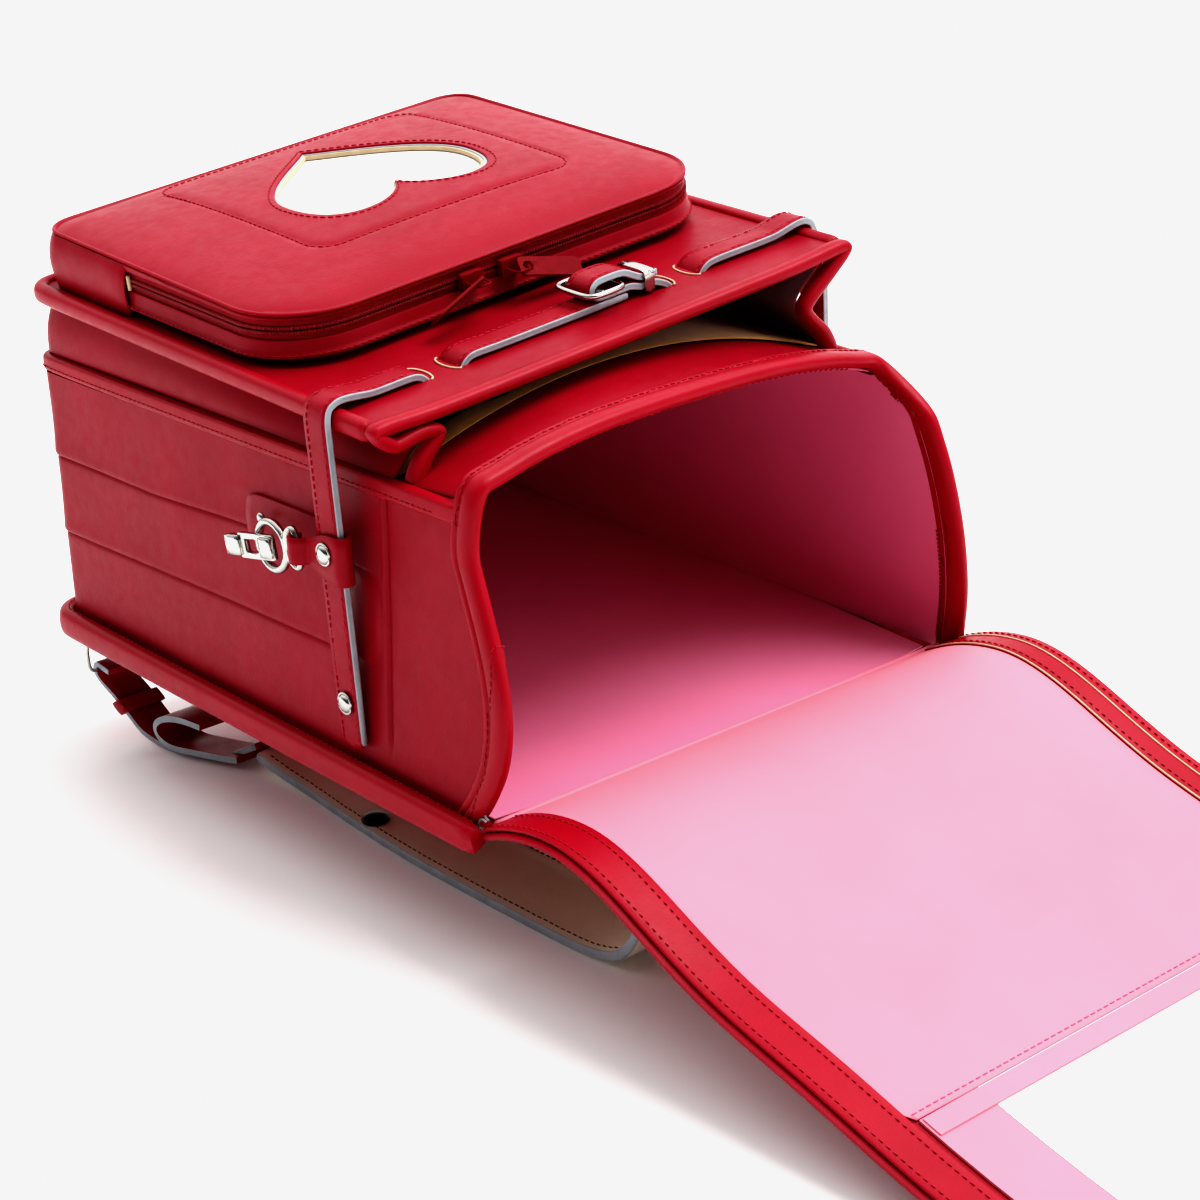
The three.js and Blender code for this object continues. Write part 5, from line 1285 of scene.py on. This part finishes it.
smallMetal = {      # wire rings under the rivets, and the stud of the hook's patch, mm
    "washer": 4.3, "washerWire": 0.55, "sunk": 0.4,
    "stud": (-124.6, 136.7, 95), "studRadius": 2.4, "studHeight": 1.3,
}


# A low dome on a surface
def dome(name, middle, radius, height, way, material):
    shape = bmesh.new()
    bmesh.ops.create_uvsphere(shape, u_segments=20, v_segments=12, radius=1)
    turn = upward.rotation_difference(way).to_matrix()
    for vertex in shape.verts:
        flat = Vector((vertex.co.x * radius, vertex.co.y * radius, vertex.co.z * height)) * mm
        vertex.co = middle + turn @ flat
    piece = newPiece(name, shape, [material])
    enter(piece)
    smoothed(piece, 80)


def makeWashers(look):
    for name, node, side in rivets:
        low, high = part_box(node)
        middle = (low + high) / 2
        middle.x = high.x - look["sunk"] * mm if side < 0 else low.x + look["sunk"] * mm
        way = Vector((side, 0, 0))
        first = way.orthogonal().normalized()
        second = way.cross(first)
        path = [middle + (first * math.cos(turn) + second * math.sin(turn)) * look["washer"] * mm
                for turn in spread(0, 2 * math.pi, 24)[:-1]]
        tubeAlong("washer" + name, path, look["washerWire"], nickel, sides=8, closed=True)
    stud = bagSpot(*look["stud"])
    dome("patchStud", stud, look["studRadius"], look["studHeight"], Vector((-1, 0, 0)), nickel)


makeWashers(smallMetal)


# Lines where a plane cuts a mesh
def planeLines(piece, origin, normal):
    shape = bmesh.new()
    shape.from_mesh(piece.data)
    everything = shape.verts[:] + shape.edges[:] + shape.faces[:]
    cut = bmesh.ops.bisect_plane(shape, geom=everything, plane_co=origin, plane_no=normal)["geom_cut"]
    edges = {e for e in cut if isinstance(e, bmesh.types.BMEdge)}
    lines = []
    while edges:
        other = edges.pop()
        last = other.verts[0]
        line = [last.co.copy()]
        while other:
            last = other.other_vert(last)
            line.append(last.co.copy())
            other = next((e for e in last.link_edges if e in edges), None)
            edges.discard(other)
        lines.append(line)
    shape.free()
    return lines


beltSewing = {"aside": 5.2, "shortest": 20, "pitch": 3.2, "length": 2.5, "radius": 0.28}


def sewBelts(look):
    rows = []
    for belt in belts:
        surface = surfaceOf(belt)
        middle = sum(v.co.y for v in belt.data.vertices) / len(belt.data.vertices)
        for offset in (-look["aside"], look["aside"]):
            for line in planeLines(belt, Vector((0, middle + offset * mm, 0)), sideways):
                if len(line) > look["shortest"]:
                    rows.append((surface, line, None, False))
    sew("beltStitches", rows, brightThread, look["pitch"], look["length"], look["radius"])


sewBelts(beltSewing)

slit = {      # in the front board's frame, mm
    "middles": (-70, 53), "reach": 7.4, "belt": 26, "half": 8.2, "bow": 3.2, "height": 2.5, "radius": 0.45,
}


# Pale cut edge of each slot in the board, where a belt goes through
def makeSlits(look):
    for i, middle in enumerate(look["middles"]):
        for side, name in sides:
            path = []
            for turn in spread(0, math.pi, 12):
                across = middle + side * (look["reach"] - look["bow"] * math.sin(turn))
                path.append(boardSpot(across, look["belt"] + look["half"] * math.cos(turn), look["height"]))
            tubeAlong("slitEdge%d%s" % (i, name), path, look["radius"], beigeEdge, sides=6)


makeSlits(slit)
print("belts and hook")


# Flap

flap = softened("flapLeather", "flap", [crimson])
flapLining = softened("flapLining", "flap_lining", [pink], crease=0.9)
flapBorder = softened("flapBorder", "flap_border", [bindingRed], crease=0.7)
timetable = softened("timetableSheet", "timetable_sheet", [card], level=0)
timetableFrame = softened("timetableFrame", "timetable_frame", [pink], level=0)
softened("lockTongue", "lock_tongue", [crimson], crease=0.7)
softened("lockPlate", "lock_plate", [nickel])
softened("lockBase", "lock_base", [nickel], crease=0.7)

flapSewing = {
    "half": 128, "end": -453.4, "corner": 66, "rows": (5.0, 16.5), "needle": 60, "start": -2, "step": 6,
    "layers": ((8.2, "Outer"), (19.5, "Inner")),      # pale cut edges of the far border's two layers
    "layerStart": -3, "layerLift": 0.1, "layerRadius": 0.4,
    "liningEnd": -205.0, "liningAcross": range(-106, 108, 6),
}


def sewFlap(look):
    surface, down, needle = surfaceOf(flapBorder), -upward, look["needle"]
    rows = []
    for inset in look["rows"]:
        radius, half, end = look["corner"] - inset, look["half"] - inset, look["end"] + inset
        turn = end + radius
        path = [(-half, y) for y in range(look["start"], int(turn), -look["step"])]
        path += quarter(-half + radius, turn, radius, 180, 12) + quarter(half - radius, turn, radius, 270, 12)
        path += [(half, y) for y in range(int(turn), look["start"], look["step"])]
        rows.append((surface, [bagSpot(x, y, needle) for x, y in path], down, False))
    sew("flapStitches", rows, thread, radius=0.3)
    for inset, name in look["layers"]:
        line = []
        for y in spread(look["layerStart"], look["end"] + look["corner"], 99):
            hit = surface.ray_cast(bagSpot(look["half"] - inset, y, needle), down)[0]
            if hit is not None:
                line.append(hit + upward * look["layerLift"] * mm)
        tubeAlong("farBorder" + name, line, look["layerRadius"], beigeEdge, sides=6)
    across = [bagSpot(x, look["liningEnd"], needle) for x in look["liningAcross"]]
    sew("liningStitches", [(surfaceOf(flapLining), across, down, False)], pinkThread, radius=0.28)


sewFlap(flapSewing)

topHem = {      # woven hem of the timetable pocket
    "start": -208.6, "width": 8.5, "near": -104, "far": 104, "thick": 0.6, "under": 0.05, "floor": -56,
    "above": 60,
}


def makeTopHem(look):
    surfaces = [surfaceOf(timetable), surfaceOf(timetableFrame)]
    grids = []
    for up in (look["thick"], look["under"]):
        grid = []
        for y in spread(look["start"], look["start"] - look["width"], 3):
            row = []
            for x in spread(look["near"], look["far"], 60):
                hits = [surface.ray_cast(bagSpot(x, y, look["above"]), -upward)[0] for surface in surfaces]
                height = max([inBag(hit).z for hit in hits if hit is not None] + [look["floor"]])
                row.append((x, y, height + up))
            grid.append(row)
        grids.append(grid)
    sheetPiece("timetableHem", grids, [pink])


makeTopHem(topHem)
print("flap")


# Shoulder straps

across = Vector((1, 0, 0))
straps = []
for side, name in sides:
    low = name.lower()
    strap = softened("shoulderStrap" + name, "shoulder_strap_" + low, [cream, edgePaint])
    paintEdges(strap, across)
    straps.append(strap)
    tail = softened("strapTail" + name, "strap_tail_" + low, [crimson, edgePaint], crease=0.9)
    paintEdges(tail, across)
    softened("tailKeeper" + name, "tail_keeper_" + low, [crimson], crease=0.7)
    softened("dRing" + name, "d_ring_" + low, [nickel], sharp=75, crease=0.3)
    softened("ringTab" + name, "ring_tab_" + low, [crimson])
softened("strapCarrier", "strap_carrier", [blackMetal], crease=0.7)

strapLook = {
    # the strap's end turned back through its buckle, as (y, z) in the bag's frame
    "loop": [(228, -52.6), (238, -53.2), (250, -53.3), (262, -53.0), (269, -49.0), (270, -43.5), (265, -39.5),
             (256, -38.5), (246, -40.0)],
    "loopX": 83, "loopY": 221, "splay": 0.377, "half": 9, "thick": 3, "fine": 6,
    "floorBelow": -30, "needle": -24, "sewn": range(-30, 216, 5), "slice": 6, "edge": 4,
    "snap": (84, 136, -52.6), "snapRadius": 6.2, "snapHeight": 2.4,
}


def makeStrapLoop(look, side, name):
    route = smoothLine([Vector((0, y, z)) for y, z in look["loop"]], look["fine"])
    grids = []
    for way in (0.5, -0.5):
        grid = []
        for i, at in enumerate(route):
            ahead = route[min(i + 1, len(route) - 1)] - route[max(i - 1, 0)]
            up = Vector((0, -ahead.z, ahead.y)).normalized() * look["thick"] * way
            middle = side * (look["loopX"] + look["splay"] * (at.y - look["loopY"]))
            edges = middle - look["half"], middle + look["half"]
            grid.append([(x, at.y + up.y, at.z + up.z) for x in spread(*edges, 4)])
        grids.append(grid)
    piece = sheetPiece("strapLoop" + name, grids, [crimson, edgePaint])
    paintEdges(piece, across, 0.0)


# Two rows of stitches on the cream side of a strap, where it lies on the floor
def sewStrap(look, strap, name):
    surface = surfaceOf(strap)
    low = [at for at in (inBag(vertex.co) for vertex in strap.data.vertices) if at.z < look["floorBelow"]]
    rows = []
    for edge, inset in ((min, look["edge"]), (max, -look["edge"])):
        path = []
        for y in look["sewn"]:
            near = [at.x for at in low if abs(at.y - y) < look["slice"]]
            if near:
                path.append(bagSpot(edge(near) + inset, y, look["needle"]))
        rows.append((surface, path, -upward, False))
    sew("strapStitches" + name, rows, brownThread, pitch=3.6, radius=0.3)


for side, name in sides:
    makeStrapLoop(strapLook, side, name)
for strap, (side, name) in zip(straps, sides):
    sewStrap(strapLook, strap, name)
for side, name in sides:
    x, y, z = strapLook["snap"]
    dome("strapSnap" + name, bagSpot(side * x, y, z), strapLook["snapRadius"], strapLook["snapHeight"],
         upward, blackMetal)
print("straps")
